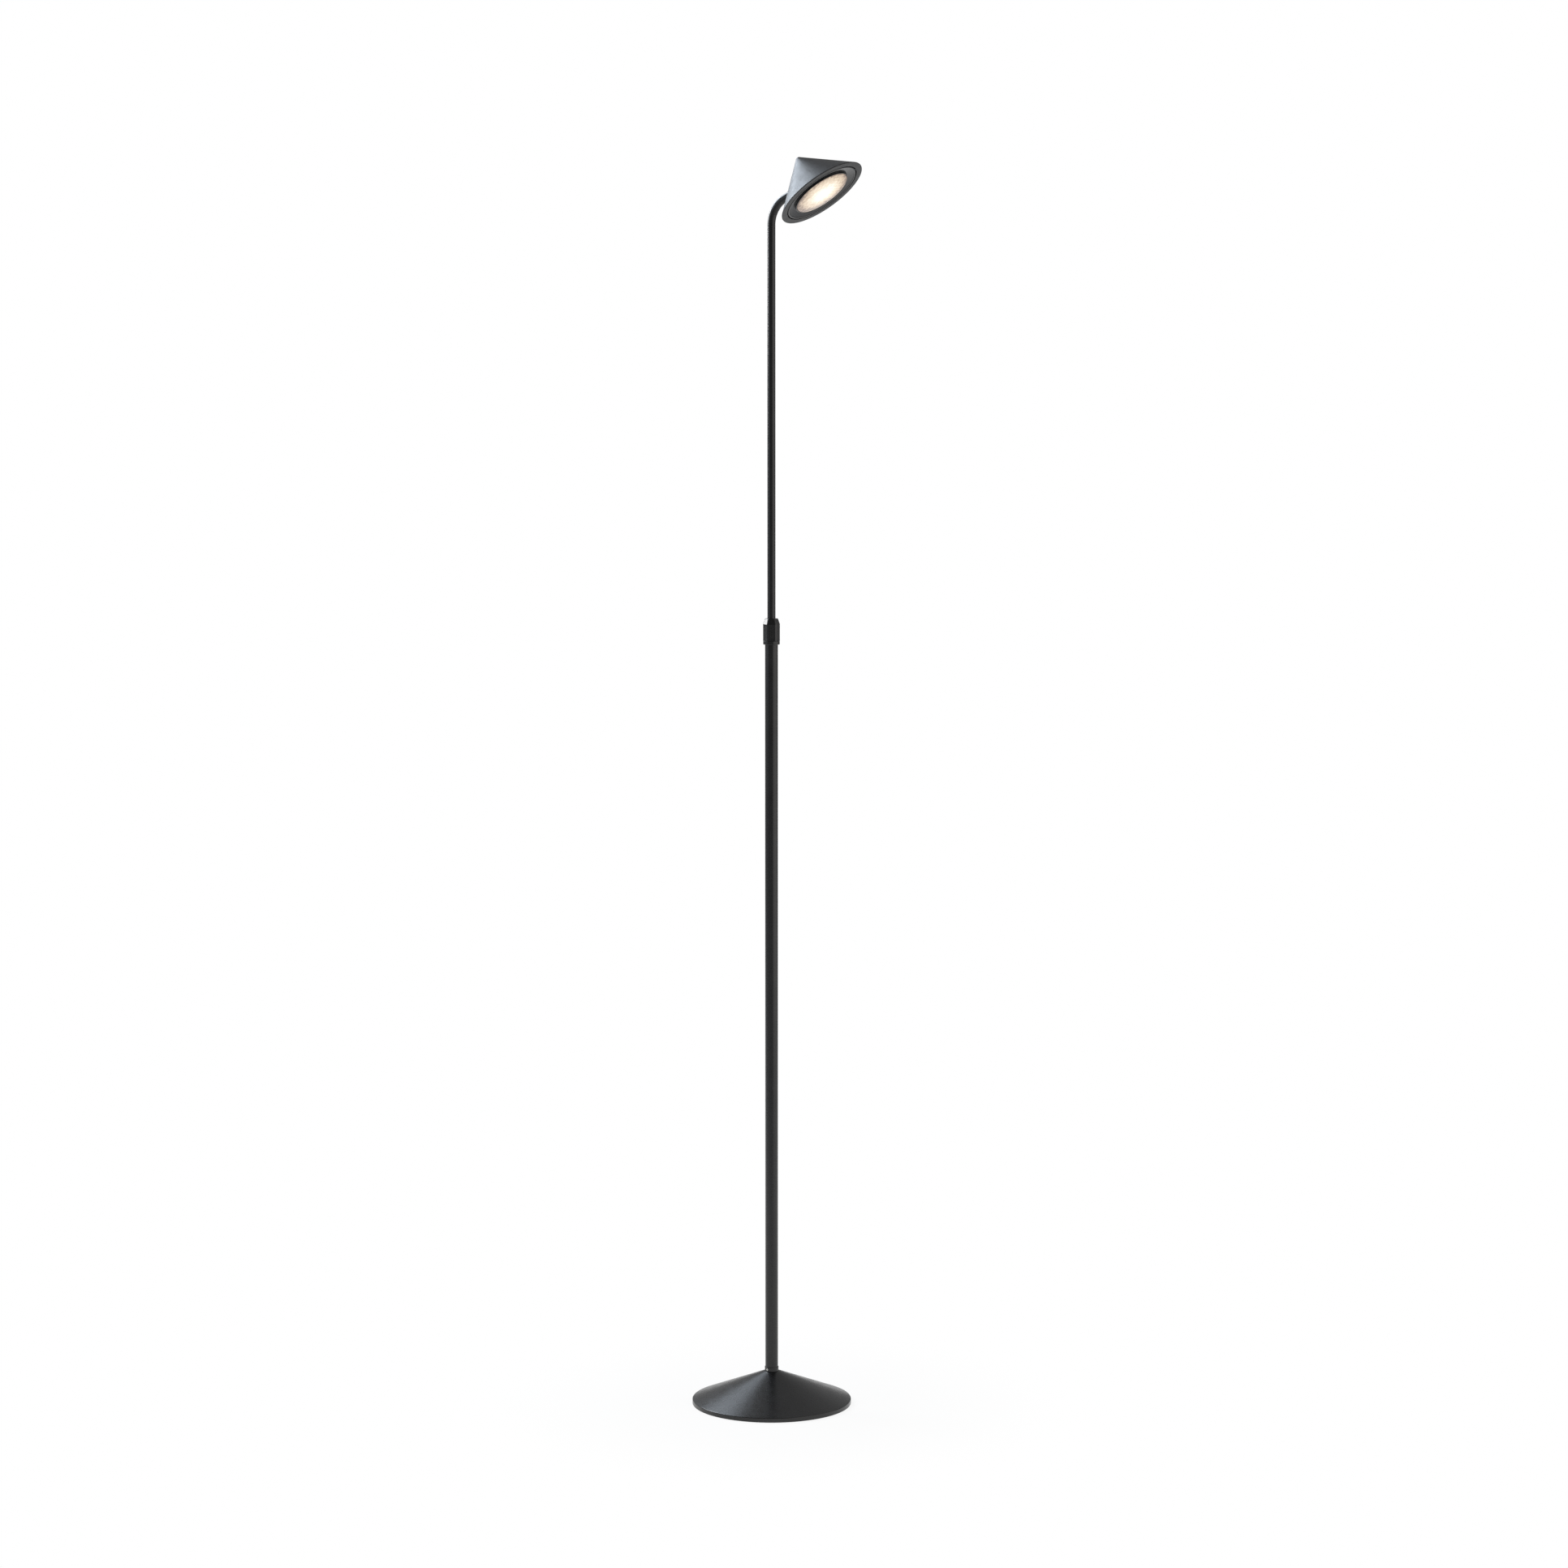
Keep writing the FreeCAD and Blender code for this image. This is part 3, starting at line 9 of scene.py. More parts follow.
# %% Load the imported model
import json
import math
import bmesh
import bpy
import numpy as np
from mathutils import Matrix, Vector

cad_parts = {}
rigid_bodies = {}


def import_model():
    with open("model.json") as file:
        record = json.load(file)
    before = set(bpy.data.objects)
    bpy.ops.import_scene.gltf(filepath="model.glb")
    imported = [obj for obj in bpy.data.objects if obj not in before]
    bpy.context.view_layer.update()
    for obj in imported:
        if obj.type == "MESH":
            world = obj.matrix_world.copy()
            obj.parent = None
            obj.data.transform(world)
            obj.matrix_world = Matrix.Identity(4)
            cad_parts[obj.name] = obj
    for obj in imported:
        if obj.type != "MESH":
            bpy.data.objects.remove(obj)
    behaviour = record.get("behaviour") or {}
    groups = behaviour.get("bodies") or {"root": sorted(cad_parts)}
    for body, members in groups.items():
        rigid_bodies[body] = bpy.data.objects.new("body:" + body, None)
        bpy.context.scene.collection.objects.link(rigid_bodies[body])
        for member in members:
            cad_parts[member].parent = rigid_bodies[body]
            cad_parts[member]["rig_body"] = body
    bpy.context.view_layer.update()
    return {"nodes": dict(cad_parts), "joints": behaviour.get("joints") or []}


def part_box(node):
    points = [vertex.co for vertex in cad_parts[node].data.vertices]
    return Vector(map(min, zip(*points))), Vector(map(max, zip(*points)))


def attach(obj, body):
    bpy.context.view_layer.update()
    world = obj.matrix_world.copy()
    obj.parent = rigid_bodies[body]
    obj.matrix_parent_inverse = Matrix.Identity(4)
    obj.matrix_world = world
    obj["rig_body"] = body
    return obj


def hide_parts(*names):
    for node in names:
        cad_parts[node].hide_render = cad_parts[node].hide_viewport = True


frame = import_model()
nodes = frame["nodes"]
MM = 0.001

# %% [markdown]
# ## Surfaces on a grid
# A turned part is one outline carried round an axis, and a bent tube is the same thing carried
# along a bent axis.  Both are grids: one direction runs round the axis, the other along the
# outline.  So one helper joins the neighbours of a grid with faces, and every piece only has to say
# where its points are.  Working on whole arrays keeps this quick, and the faces all point outward
# if the outline runs anticlockwise.


# %% A piece from a grid of points
def grid_faces(rows, columns, join_columns):
    """Four cornered faces between neighbours.  Rows close on themselves, columns only on request."""
    index = np.arange(rows * columns).reshape(rows, columns)
    index = np.vstack([index, index[:1]])
    if join_columns:
        index = np.hstack([index, index[:, :1]])
    corners = [index[:-1, :-1], index[1:, :-1], index[1:, 1:], index[:-1, 1:]]
    return np.stack(corners, axis=-1).reshape(-1, 4)


def grid_mesh(name, points, join_columns=True):
    """A smooth mesh from an array of rows, columns and places, welded where points coincide."""
    mesh = bpy.data.meshes.new(name)
    faces = grid_faces(points.shape[0], points.shape[1], join_columns)
    mesh.from_pydata(points.reshape(-1, 3).tolist(), [], faces.tolist())
    work = bmesh.new()
    work.from_mesh(mesh)
    bmesh.ops.remove_doubles(work, verts=work.verts, dist=0.0005 * MM)
    work.to_mesh(mesh)
    work.free()
    mesh.polygons.foreach_set("use_smooth", np.ones(len(mesh.polygons), dtype=bool))
    mesh.update()
    return mesh


def fit_piece(mesh, finish, node):
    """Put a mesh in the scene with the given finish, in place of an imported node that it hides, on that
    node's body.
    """
    mesh.materials.clear()
    mesh.materials.append(finish)
    piece = bpy.data.objects.new(mesh.name, mesh)
    bpy.context.scene.collection.objects.link(piece)
    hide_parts(node)
    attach(piece, nodes[node]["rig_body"])
    print(mesh.name, "stands for", node, "with", len(mesh.polygons), "faces")


# %% [markdown]
# ## Outlines with round corners
# Pressed and coated metal has no sharp edge: the coat alone rounds it by a few tenths of a
# millimetre, and those thin arcs are what catches the light.  An outline here is a list of corners,
# each with its own radius.  Beside each arc a straight run keeps one more point, so that smooth
# shading turns within the arc and leaves the flat stretch flat.


# %% Outline and turning helpers
def rounded_outline(corners, steps=6, keep=0.4 * MM, longest=None):
    """Points along a closed outline of corners (across, up, radius), each corner an arc of equal steps.

    An arc's points are its two end directions from its centre, mixed with sines of the share of its angle.
    """
    sharp = 0.08 * MM
    places = np.array([c[:2] for c in corners], dtype=float)
    radii = [c[2] if len(c) > 2 else sharp for c in corners]
    arcs = []
    for i, here in enumerate(places):
        back = places[i - 1] - here
        ahead = places[(i + 1) % len(places)] - here
        back = back / np.linalg.norm(back)
        ahead = ahead / np.linalg.norm(ahead)
        if abs(here[0]) < 1e-9:
            arcs.append(here[None, :])
            continue
        half = math.acos(np.clip(back @ ahead, -1, 1)) / 2
        middle = here + (back + ahead) / np.linalg.norm(back + ahead) * radii[i] / math.sin(half)
        first = (here + back * radii[i] / math.tan(half) - middle) / radii[i]
        last = (here + ahead * radii[i] / math.tan(half) - middle) / radii[i]
        sweep = math.pi - 2 * half
        share = np.linspace(0, 1, steps + 1)[:, None]
        mix = np.sin((1 - share) * sweep) * first + np.sin(share * sweep) * last
        arcs.append(middle + radii[i] * mix / math.sin(sweep))
    runs = []
    for i, arc in enumerate(arcs):
        start = arc[-1]
        end = arcs[(i + 1) % len(arcs)][0]
        length = np.linalg.norm(end - start)
        shares = [keep / length, 1 - keep / length] if length > 3 * keep else []
        if longest and length > longest:
            shares = shares + list(np.linspace(0, 1, int(length / longest) + 2)[1:-1])
        shares = np.array(sorted(shares))[:, None]
        runs += [arc, start + (end - start) * shares] if len(shares) else [arc]
    return np.vstack(runs)


def even_turns(count):
    """Directions round the axis, evenly spread over one turn."""
    return np.linspace(0, 2 * math.pi, count, endpoint=False)


def turns_with_detail(count, where, width, step):
    """Even directions, and closer ones over a width round one direction."""
    fine = np.arange(where - width / 2, where + width / 2, step)
    return np.unique(np.round(np.concatenate([even_turns(count), fine % (2 * math.pi)]), 6))


def turned(outline, turns):
    """Surface of revolution: (across, up) at direction a goes to (across cos a, across sin a, up)."""
    across = outline[None, :, 0] + 0 * turns[:, None]
    up = outline[None, :, 1] + 0 * turns[:, None]
    return np.stack([across * np.cos(turns)[:, None], across * np.sin(turns)[:, None], up], axis=-1)


print("a square of 4 corners has", len(rounded_outline([(1, 0), (2, 0), (2, 1), (1, 1)])), "points")

# %% [markdown]
# ## Finishes from nodes
# Every finish is a Principled shader.  What is the same all over goes on the shader's own sockets.
# What varies, such as the mottle of a casting or the faint orange peel of a powder coat, comes from
# noise on the object's own coordinates, in real sizes: a scale of 1000 is a grain of one
# millimetre.  Four small helpers make the grain, turn it into a colour, a roughness or a height,
# and plug it in.


# %% Helpers for finishes
def new_finish(name, metallic=0.0, specular=0.5, emission=0.0):
    """A node material and its shader, with the values that are the same all over."""
    finish = bpy.data.materials.new(name)
    finish.use_nodes = True
    shader = finish.node_tree.nodes["Principled BSDF"]
    shader.inputs["Metallic"].default_value = metallic
    shader.inputs["Specular IOR Level"].default_value = specular
    shader.inputs["Emission Strength"].default_value = emission
    return finish, shader


def worked_out(tree, operation, *values):
    """Result of a Math node on values that are each a number or another node's output."""
    node = tree.nodes.new("ShaderNodeMath")
    node.operation = operation
    for socket, value in zip(node.inputs, values):
        if isinstance(value, (int, float)):
            socket.default_value = value
        else:
            tree.links.new(value, socket)
    return node.outputs["Value"]


def eased(tree, value, low, high, at_low=0.0, at_high=1.0):
    """Smooth change from one value to another as the input goes from low to high, and level outside."""
    node = tree.nodes.new("ShaderNodeMapRange")
    node.interpolation_type = "SMOOTHSTEP"
    for name, number in (("From Min", low), ("From Max", high), ("To Min", at_low), ("To Max", at_high)):
        node.inputs[name].default_value = number
    tree.links.new(value, node.inputs["Value"])
    return node.outputs["Result"]


def along(tree, place, direction):
    """How far a place or direction reaches along a fixed direction: their dot product."""
    node = tree.nodes.new("ShaderNodeVectorMath")
    node.operation = "DOT_PRODUCT"
    node.inputs[1].default_value = tuple(float(c) for c in direction)
    tree.links.new(place, node.inputs[0])
    return node.outputs["Value"]


def grain(finish, size, detail=3.0, stretch=(1.0, 1.0, 1.0)):
    """Noise whose spots are about the given size, longer along an axis with a smaller stretch value."""
    tree = finish.node_tree
    place = tree.nodes.new("ShaderNodeTexCoord")
    mapping = tree.nodes.new("ShaderNodeMapping")
    mapping.inputs["Scale"].default_value = stretch
    noise = tree.nodes.new("ShaderNodeTexNoise")
    noise.inputs["Scale"].default_value = 1.0 / size
    noise.inputs["Detail"].default_value = detail
    tree.links.new(place.outputs["Object"], mapping.inputs["Vector"])
    tree.links.new(mapping.outputs["Vector"], noise.inputs["Vector"])
    return noise.outputs["Fac"]


def colour_from(finish, shader, share, dark, light, low=0.35, high=0.65):
    """Colour that runs from dark to light as the share runs from low to high."""
    ramp = finish.node_tree.nodes.new("ShaderNodeValToRGB")
    ramp.color_ramp.elements[0].position = low
    ramp.color_ramp.elements[0].color = (*dark, 1.0)
    ramp.color_ramp.elements[1].position = high
    ramp.color_ramp.elements[1].color = (*light, 1.0)
    finish.node_tree.links.new(share, ramp.inputs["Fac"])
    finish.node_tree.links.new(ramp.outputs["Color"], shader.inputs["Base Color"])


def roughness_from(finish, shader, share, smooth, rough):
    """Roughness between two values as the share goes through its middle range."""
    span = finish.node_tree.nodes.new("ShaderNodeMapRange")
    span.inputs["From Min"].default_value = 0.3
    span.inputs["From Max"].default_value = 0.7
    span.inputs["To Min"].default_value = smooth
    span.inputs["To Max"].default_value = rough
    finish.node_tree.links.new(share, span.inputs["Value"])
    finish.node_tree.links.new(span.outputs["Result"], shader.inputs["Roughness"])


def height_from(finish, shader, share, depth, strength=1.0):
    """Bumps as deep as the given depth where the share runs from nothing to one."""
    bump = finish.node_tree.nodes.new("ShaderNodeBump")
    bump.inputs["Strength"].default_value = strength
    bump.inputs["Distance"].default_value = depth
    finish.node_tree.links.new(share, bump.inputs["Height"])
    finish.node_tree.links.new(bump.outputs["Normal"], shader.inputs["Normal"])


# %% [markdown]
# ## The black coat
# The cone, the poles, the nut and the head are all powder coated: electrostatic powder is baked to
# a skin with a soft satin gloss and a very shallow ripple.  The colour is nearly black with hardly
# any drift.  The ripple is what makes a highlight on a wide face look soft and slightly broken, so
# it matters more than the colour.  The ring in the head's mouth is a smoother moulding, so it gets
# its own, smoother setting.


# %% Coats
def coat(name, dark, light, smooth, rough, ripple, specular=0.5):
    """Nearly black coat: slow drift in colour, finer drift in gloss, and a ripple of a millimetre or so."""
    finish, shader = new_finish(name, specular=specular)
    colour_from(finish, shader, grain(finish, 30 * MM), dark, light)
    roughness_from(finish, shader, grain(finish, 9 * MM, 5.0), smooth, rough)
    height_from(finish, shader, grain(finish, 0.9 * MM, 2.0), ripple)
    return finish


satin_coat = coat("satin_coat", (0.006, 0.006, 0.0065), (0.009, 0.009, 0.0095), 0.24, 0.31, 0.008 * MM)
shade_coat = coat("shade_coat", (0.006, 0.006, 0.007), (0.009, 0.009, 0.010), 0.42, 0.49, 0.007 * MM)
ring_coat = coat("ring_coat", (0.005, 0.005, 0.006), (0.008, 0.008, 0.009), 0.18, 0.24, 0.003 * MM, 0.35)
print("coats", satin_coat.name, shade_coat.name, ring_coat.name)

# %% [markdown]
# ## Metals under the coat
# The hardware inside is bare or plated: zinc on the screws and washers, with the cloudy patches
# that plating has, black oxide on the small set screws, machined aluminium with its fine parallel
# marks on the heat plate, and rough cast iron in the foot.  They share one recipe, a metal whose
# colour and gloss drift, and differ in their colours, their grain and how far that grain is
# stretched.


# %% Metals
def metal(name, dark, light, smooth, rough, size, bump, stretch=(1.0, 1.0, 1.0)):
    """Bare or plated metal with cloudy colour, and marks of the given size and depth."""
    finish, shader = new_finish(name, metallic=1.0)
    colour_from(finish, shader, grain(finish, 6 * MM, 4.0), dark, light)
    marks = grain(finish, size, 4.0, stretch)
    roughness_from(finish, shader, marks, smooth, rough)
    height_from(finish, shader, marks, bump)
    return finish


zinc = metal("zinc_plate", (0.46, 0.47, 0.49), (0.62, 0.63, 0.64), 0.24, 0.42, 1.5 * MM, 0.01 * MM)
black_oxide = metal("black_oxide", (0.05, 0.05, 0.055), (0.09, 0.09, 0.095), 0.35, 0.5, 0.8 * MM, 0.01 * MM)
nickel = metal("bright_nickel", (0.66, 0.65, 0.63), (0.74, 0.73, 0.70), 0.10, 0.2, 1.0 * MM, 0.003 * MM)
milled = metal("milled_aluminium", (0.70, 0.71, 0.72), (0.80, 0.81, 0.82), 0.28, 0.45, 0.5 * MM, 0.015 * MM,
               (1.0, 0.04, 1.0))
mirror = metal("reflector_aluminium", (0.86, 0.86, 0.86), (0.92, 0.92, 0.91), 0.08, 0.16, 2.0 * MM,
               0.01 * MM)


def cast_iron(name):
    """Sand cast iron: dark, dull and pitted, partly metallic where the skin is thin."""
    finish, shader = new_finish(name, metallic=0.6, specular=0.3)
    colour_from(finish, shader, grain(finish, 4 * MM, 6.0), (0.05, 0.048, 0.047), (0.12, 0.115, 0.11))
    pits = grain(finish, 1.2 * MM, 6.0)
    roughness_from(finish, shader, pits, 0.62, 0.85)
    height_from(finish, shader, pits, 0.15 * MM)
    return finish


casting = cast_iron("foot_casting")
print("metals", zinc.name, black_oxide.name, nickel.name, milled.name, mirror.name, casting.name)

# %% [markdown]
# ## Plastics, rubber and the lit parts
# Nylon guides and the white driver case are moulded and show a fine spark eroded grain.  Rubber is
# duller and scatters light from its dust.  The leads have a smooth sheath.  The light source is a
# yellow disc of phosphor that glows, so it gets some emission of its own.


# %% Plastics and the light source
def moulded(name, dark, light, smooth, rough, size, bump, specular=0.5):
    """Moulded plastic or rubber with a fine even grain."""
    finish, shader = new_finish(name, specular=specular)
    colour_from(finish, shader, grain(finish, 12 * MM), dark, light)
    fine = grain(finish, size, 2.0)
    roughness_from(finish, shader, fine, smooth, rough)
    height_from(finish, shader, fine, bump)
    return finish


nylon = moulded("black_nylon", (0.018, 0.018, 0.019), (0.028, 0.028, 0.03), 0.42, 0.55, 0.3 * MM, 0.02 * MM)
rubber = moulded("black_rubber", (0.012, 0.012, 0.012), (0.022, 0.022, 0.021), 0.72, 0.9, 0.5 * MM,
                 0.03 * MM, 0.3)
white_case = moulded("white_case", (0.70, 0.70, 0.67), (0.78, 0.78, 0.75), 0.38, 0.5, 0.35 * MM, 0.02 * MM)
board_mask = moulded("board_mask", (0.80, 0.81, 0.80), (0.88, 0.88, 0.87), 0.25, 0.4, 0.8 * MM, 0.01 * MM)
sheath = moulded("lead_sheath", (0.42, 0.42, 0.43), (0.50, 0.50, 0.51), 0.4, 0.55, 0.6 * MM, 0.015 * MM)


def phosphor(name):
    """Yellow silicone over the light source, brighter and whiter in its middle range."""
    finish, shader = new_finish(name, emission=2.0)
    spots = grain(finish, 0.7 * MM, 2.0)
    colour_from(finish, shader, spots, (0.9, 0.62, 0.12), (1.0, 0.78, 0.25))
    roughness_from(finish, shader, spots, 0.3, 0.45)
    shader.inputs["Emission Color"].default_value = (1.0, 0.86, 0.62, 1.0)
    return finish


glow = phosphor("warm_phosphor")
print("plastics", nylon.name, rubber.name, white_case.name, board_mask.name, sheath.name, "and", glow.name)

# %% [markdown]
# ## The hidden hardware
# These nodes already have their true shape, with countersinks, slots, fins and drilled holes.  They
# only need the right finish, which a table of node and finish gives.

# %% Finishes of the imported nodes
NODE_FINISHES = {
    zinc: ["bottom_plate", "bottom_screws", "base_washer", "base_nut", "foot_plug", "clamp_screws",
           "driver_screws", "stop_ring", "pivot_block", "axle_washers", "axle_nuts", "shade_lugs",
           "plate_screws", "pivot_yoke", "yoke_screws", "board_screws"],
    black_oxide: ["block_screw", "stem_circlip", "trim_clips"],
    nickel: ["grub_screw", "pivot_sleeve"],
    milled: ["heat_plate", "heat_sink"],
    mirror: ["reflector"],
    casting: ["base_weight"],
    nylon: ["tube_guide", "collet", "guide_bush", "friction_discs", "cord_clamp"],
    rubber: ["base_pad", "cord_grommet", "lens_gasket"],
    white_case: ["led_driver", "terminal_block"],
    board_mask: ["led_board"],
    sheath: ["base_lead", "coil_lead", "stem_lead", "head_lead", "board_lead"],
    glow: ["led_emitter"],
}
for finish, names in NODE_FINISHES.items():
    for name in names:
        nodes[name].material_slots[0].material = finish
print("finished", sum(len(names) for names in NODE_FINISHES.values()), "nodes")

# %% [markdown]
# ## The foot's cover
# The cover is spun from sheet steel: a flat crown for the pole, a straight cone, a tight roll at
# the rim and a short skirt.  It is one closed outline of the sheet's two sides, turned round the
# pole.  The rim's small radius draws the thin bright line that runs along the front of the foot.
# At the back the skirt is notched for the grommet, so there the directions stand closer and the
# skirt's lower edge is lifted over the notch's width.

# %% Foot cover
low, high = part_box("base_cover")
BASE_R = high.x
RIM_FOOT = low.z
CROWN_Z = high.z
RIM_TOP = 6.0 * MM
CROWN_R = 9.5 * MM
COVER_WALL = 1.5 * MM
RIM_ROUND = 0.9 * MM
CROWN_HOLE_R = 5.2 * MM
NOTCH_HALF = 3.25 * MM
NOTCH_TOP = 4.8 * MM
cone_slope = (CROWN_Z - RIM_TOP) / (BASE_R - CROWN_R)
cover_drop = COVER_WALL * math.hypot(1, cone_slope)
skirt_in = BASE_R - COVER_WALL
rim_in = RIM_TOP + cone_slope * COVER_WALL - cover_drop
crown_in = CROWN_R - (cover_drop - COVER_WALL) / cone_slope
cover_outline = rounded_outline([
    (skirt_in, RIM_FOOT, 0.2 * MM), (BASE_R, RIM_FOOT, 0.3 * MM), (BASE_R, RIM_TOP, RIM_ROUND),
    (CROWN_R, CROWN_Z, RIM_ROUND), (CROWN_HOLE_R, CROWN_Z), (CROWN_HOLE_R, CROWN_Z - COVER_WALL),
    (crown_in, CROWN_Z - COVER_WALL), (skirt_in, rim_in)])


def notched(points):
    """Lift the skirt's foot over the notch by squeezing the skirt's heights above the notch's top."""
    x, y, z = np.moveaxis(points, -1, 0)
    roof = RIM_TOP - RIM_ROUND
    squeezed = NOTCH_TOP + (z - RIM_FOOT) * (roof - NOTCH_TOP) / (roof - RIM_FOOT)
    inside = (np.abs(y) < NOTCH_HALF) & (x < 0) & (z < roof) & (np.hypot(x, y) > skirt_in - COVER_WALL)
    return np.stack([x, y, np.where(inside, squeezed, z)], axis=-1)


cover_turns = turns_with_detail(288, math.pi, 3 * NOTCH_HALF / BASE_R, 0.15 * MM / BASE_R)
fit_piece(grid_mesh("foot_cover", notched(turned(cover_outline, cover_turns))),
          satin_coat, "base_cover")

# %% [markdown]
# ## The ring at the foot of the pole
# A thin ring hides the joint of pole and cone.  It is drilled for a set screw, whose bright end
# shows in the hole on the left of the photograph's view.  The hole needs no cutting: the points of
# the ring's outer wall that lie within the hole's radius, measured on the unrolled wall, are pushed
# in by the wall's thickness.


# %% Foot ring
def dimpled(outline, turns, hole_turn, hole_up, hole_r, depth, wall_r):
    """Turned points, drawn in by a depth within a radius of one spot on the outer wall.

    The push falls from all to nothing over a tenth of a millimetre at the hole's edge.
    """
    points = turned(outline, turns)
    apart = (turns - hole_turn + math.pi) % (2 * math.pi) - math.pi
    distance = np.hypot(apart[:, None] * wall_r, outline[None, :, 1] - hole_up)
    push = depth * np.clip((hole_r - distance) / (0.1 * MM), 0, 1)
    push = np.where(outline[None, :, 0] > wall_r - 0.05 * MM, push, 0)
    points[..., 0] -= push * np.cos(turns)[:, None]
    points[..., 1] -= push * np.sin(turns)[:, None]
    return points


low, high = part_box("foot_ring")
FOOT_RING_R = high.x
FOOT_RING_WALL = 0.65 * MM
SET_SCREW_TURN = math.radians(-100) % (2 * math.pi)
SET_SCREW_UP = 2.4 * MM
SET_SCREW_R = 1.3 * MM
ring_outline = rounded_outline([
    (FOOT_RING_R - FOOT_RING_WALL, low.z), (FOOT_RING_R, low.z, 0.15 * MM),
    (FOOT_RING_R, high.z, FOOT_RING_WALL / 2), (FOOT_RING_R - FOOT_RING_WALL, high.z)], longest=0.15 * MM)
ring_turns = turns_with_detail(144, SET_SCREW_TURN, 4 * SET_SCREW_R / FOOT_RING_R, 0.1 * MM / FOOT_RING_R)
ring_points = dimpled(ring_outline, ring_turns, SET_SCREW_TURN, low.z + SET_SCREW_UP, SET_SCREW_R,
                      FOOT_RING_WALL, FOOT_RING_R)
fit_piece(grid_mesh("pole_foot_ring", ring_points), satin_coat, "foot_ring")

# %% [markdown]
# ## The lower pole and its clamp
# The lower pole is drawn tube, 16 mm over a 1 mm wall.  Its top holds a turned clamp body: a spigot
# inside the tube, a smooth band on its end and a sleeve that the nut turns on.  Both are closed
# outlines turned round the pole, with the small edge radii that the coat leaves.

# %% Lower pole and clamp body
low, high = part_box("lower_tube")
LOWER_R = high.x
LOWER_WALL = 1.0 * MM
pole_outline = rounded_outline([
    (LOWER_R - LOWER_WALL, low.z, 0.2 * MM), (LOWER_R, low.z, 0.2 * MM), (LOWER_R, high.z, 0.25 * MM),
    (LOWER_R - LOWER_WALL, high.z, 0.2 * MM)])
fit_piece(grid_mesh("lower_pole", turned(pole_outline, even_turns(128))), satin_coat, "lower_tube")

BAND_H = 4.5 * MM
SLEEVE_R = 8.5 * MM
PASS_R = 5.4 * MM
SPIGOT_GAP = 0.05 * MM
COLLET_ROOM_R = 6.95 * MM
COLLET_ROOM_H = 7.7 * MM
pole_top = high.z
low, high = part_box("clamp_body")
spigot_r = LOWER_R - LOWER_WALL - SPIGOT_GAP
clamp_outline = rounded_outline([
    (PASS_R, low.z, 0.2 * MM), (spigot_r, low.z, 0.5 * MM), (spigot_r, pole_top),
    (high.x, pole_top, 0.5 * MM),
    (high.x, pole_top + BAND_H, 0.2 * MM), (SLEEVE_R, pole_top + BAND_H), (SLEEVE_R, high.z, 0.4 * MM),
    (COLLET_ROOM_R, high.z, 0.2 * MM), (COLLET_ROOM_R, high.z - COLLET_ROOM_H),
    (PASS_R, high.z - COLLET_ROOM_H)])
fit_piece(grid_mesh("pole_clamp", turned(clamp_outline, even_turns(128))), satin_coat, "clamp_body")

# %% [markdown]
# ## The lock nut
# The nut is a six sided collar with rounded corners and a tall chamfer, one flat slope on each
# side, of which the left one mirrors the light.  Fine upright grooves on its sides give the fingers
# hold.  In plan it is a hexagon limited by a circle: its radius at a direction is the hexagon's
# flat distance over the cosine from the nearest flat, but no more than the corner circle.  A soft
# minimum rounds the meeting of the two, and the chamfer scales the whole plan down toward the top.

# %% Lock nut
low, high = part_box("lock_nut")
NUT_FLAT = 9.55 * MM
NUT_CORNER_R = high.y
NUT_TURN = math.radians(5.2)
CHAMFER_H = 6.9 * MM
NUT_TOP_FLAT = 7.4 * MM
NUT_BORE_R = 8.55 * MM
CAVITY_TOP = 0.98255      # above the floor
CONE_H = 5.0 * MM
CONE_FOOT_R = 8.2 * MM
CONE_TOP_R = 6.2 * MM
GROOVE_PITCH = 2.0 * MM
GROOVE_DEPTH = 0.12 * MM
GROOVE_MARGIN = 1.6 * MM
GROOVE_TOP_MARGIN = 0.8 * MM
GROOVE_FADE = 0.6 * MM
CORNER_SHARPNESS = 120
nut_outline = rounded_outline([
    (NUT_BORE_R, low.z, 0.2 * MM), (NUT_FLAT, low.z, 0.2 * MM), (NUT_FLAT, high.z - CHAMFER_H, 0.5 * MM),
    (NUT_TOP_FLAT, high.z, 0.4 * MM), (PASS_R, high.z, 0.3 * MM), (PASS_R, CAVITY_TOP + CONE_H),
    (CONE_TOP_R, CAVITY_TOP + CONE_H), (CONE_FOOT_R, CAVITY_TOP), (NUT_BORE_R, CAVITY_TOP)],
    longest=1.0 * MM)


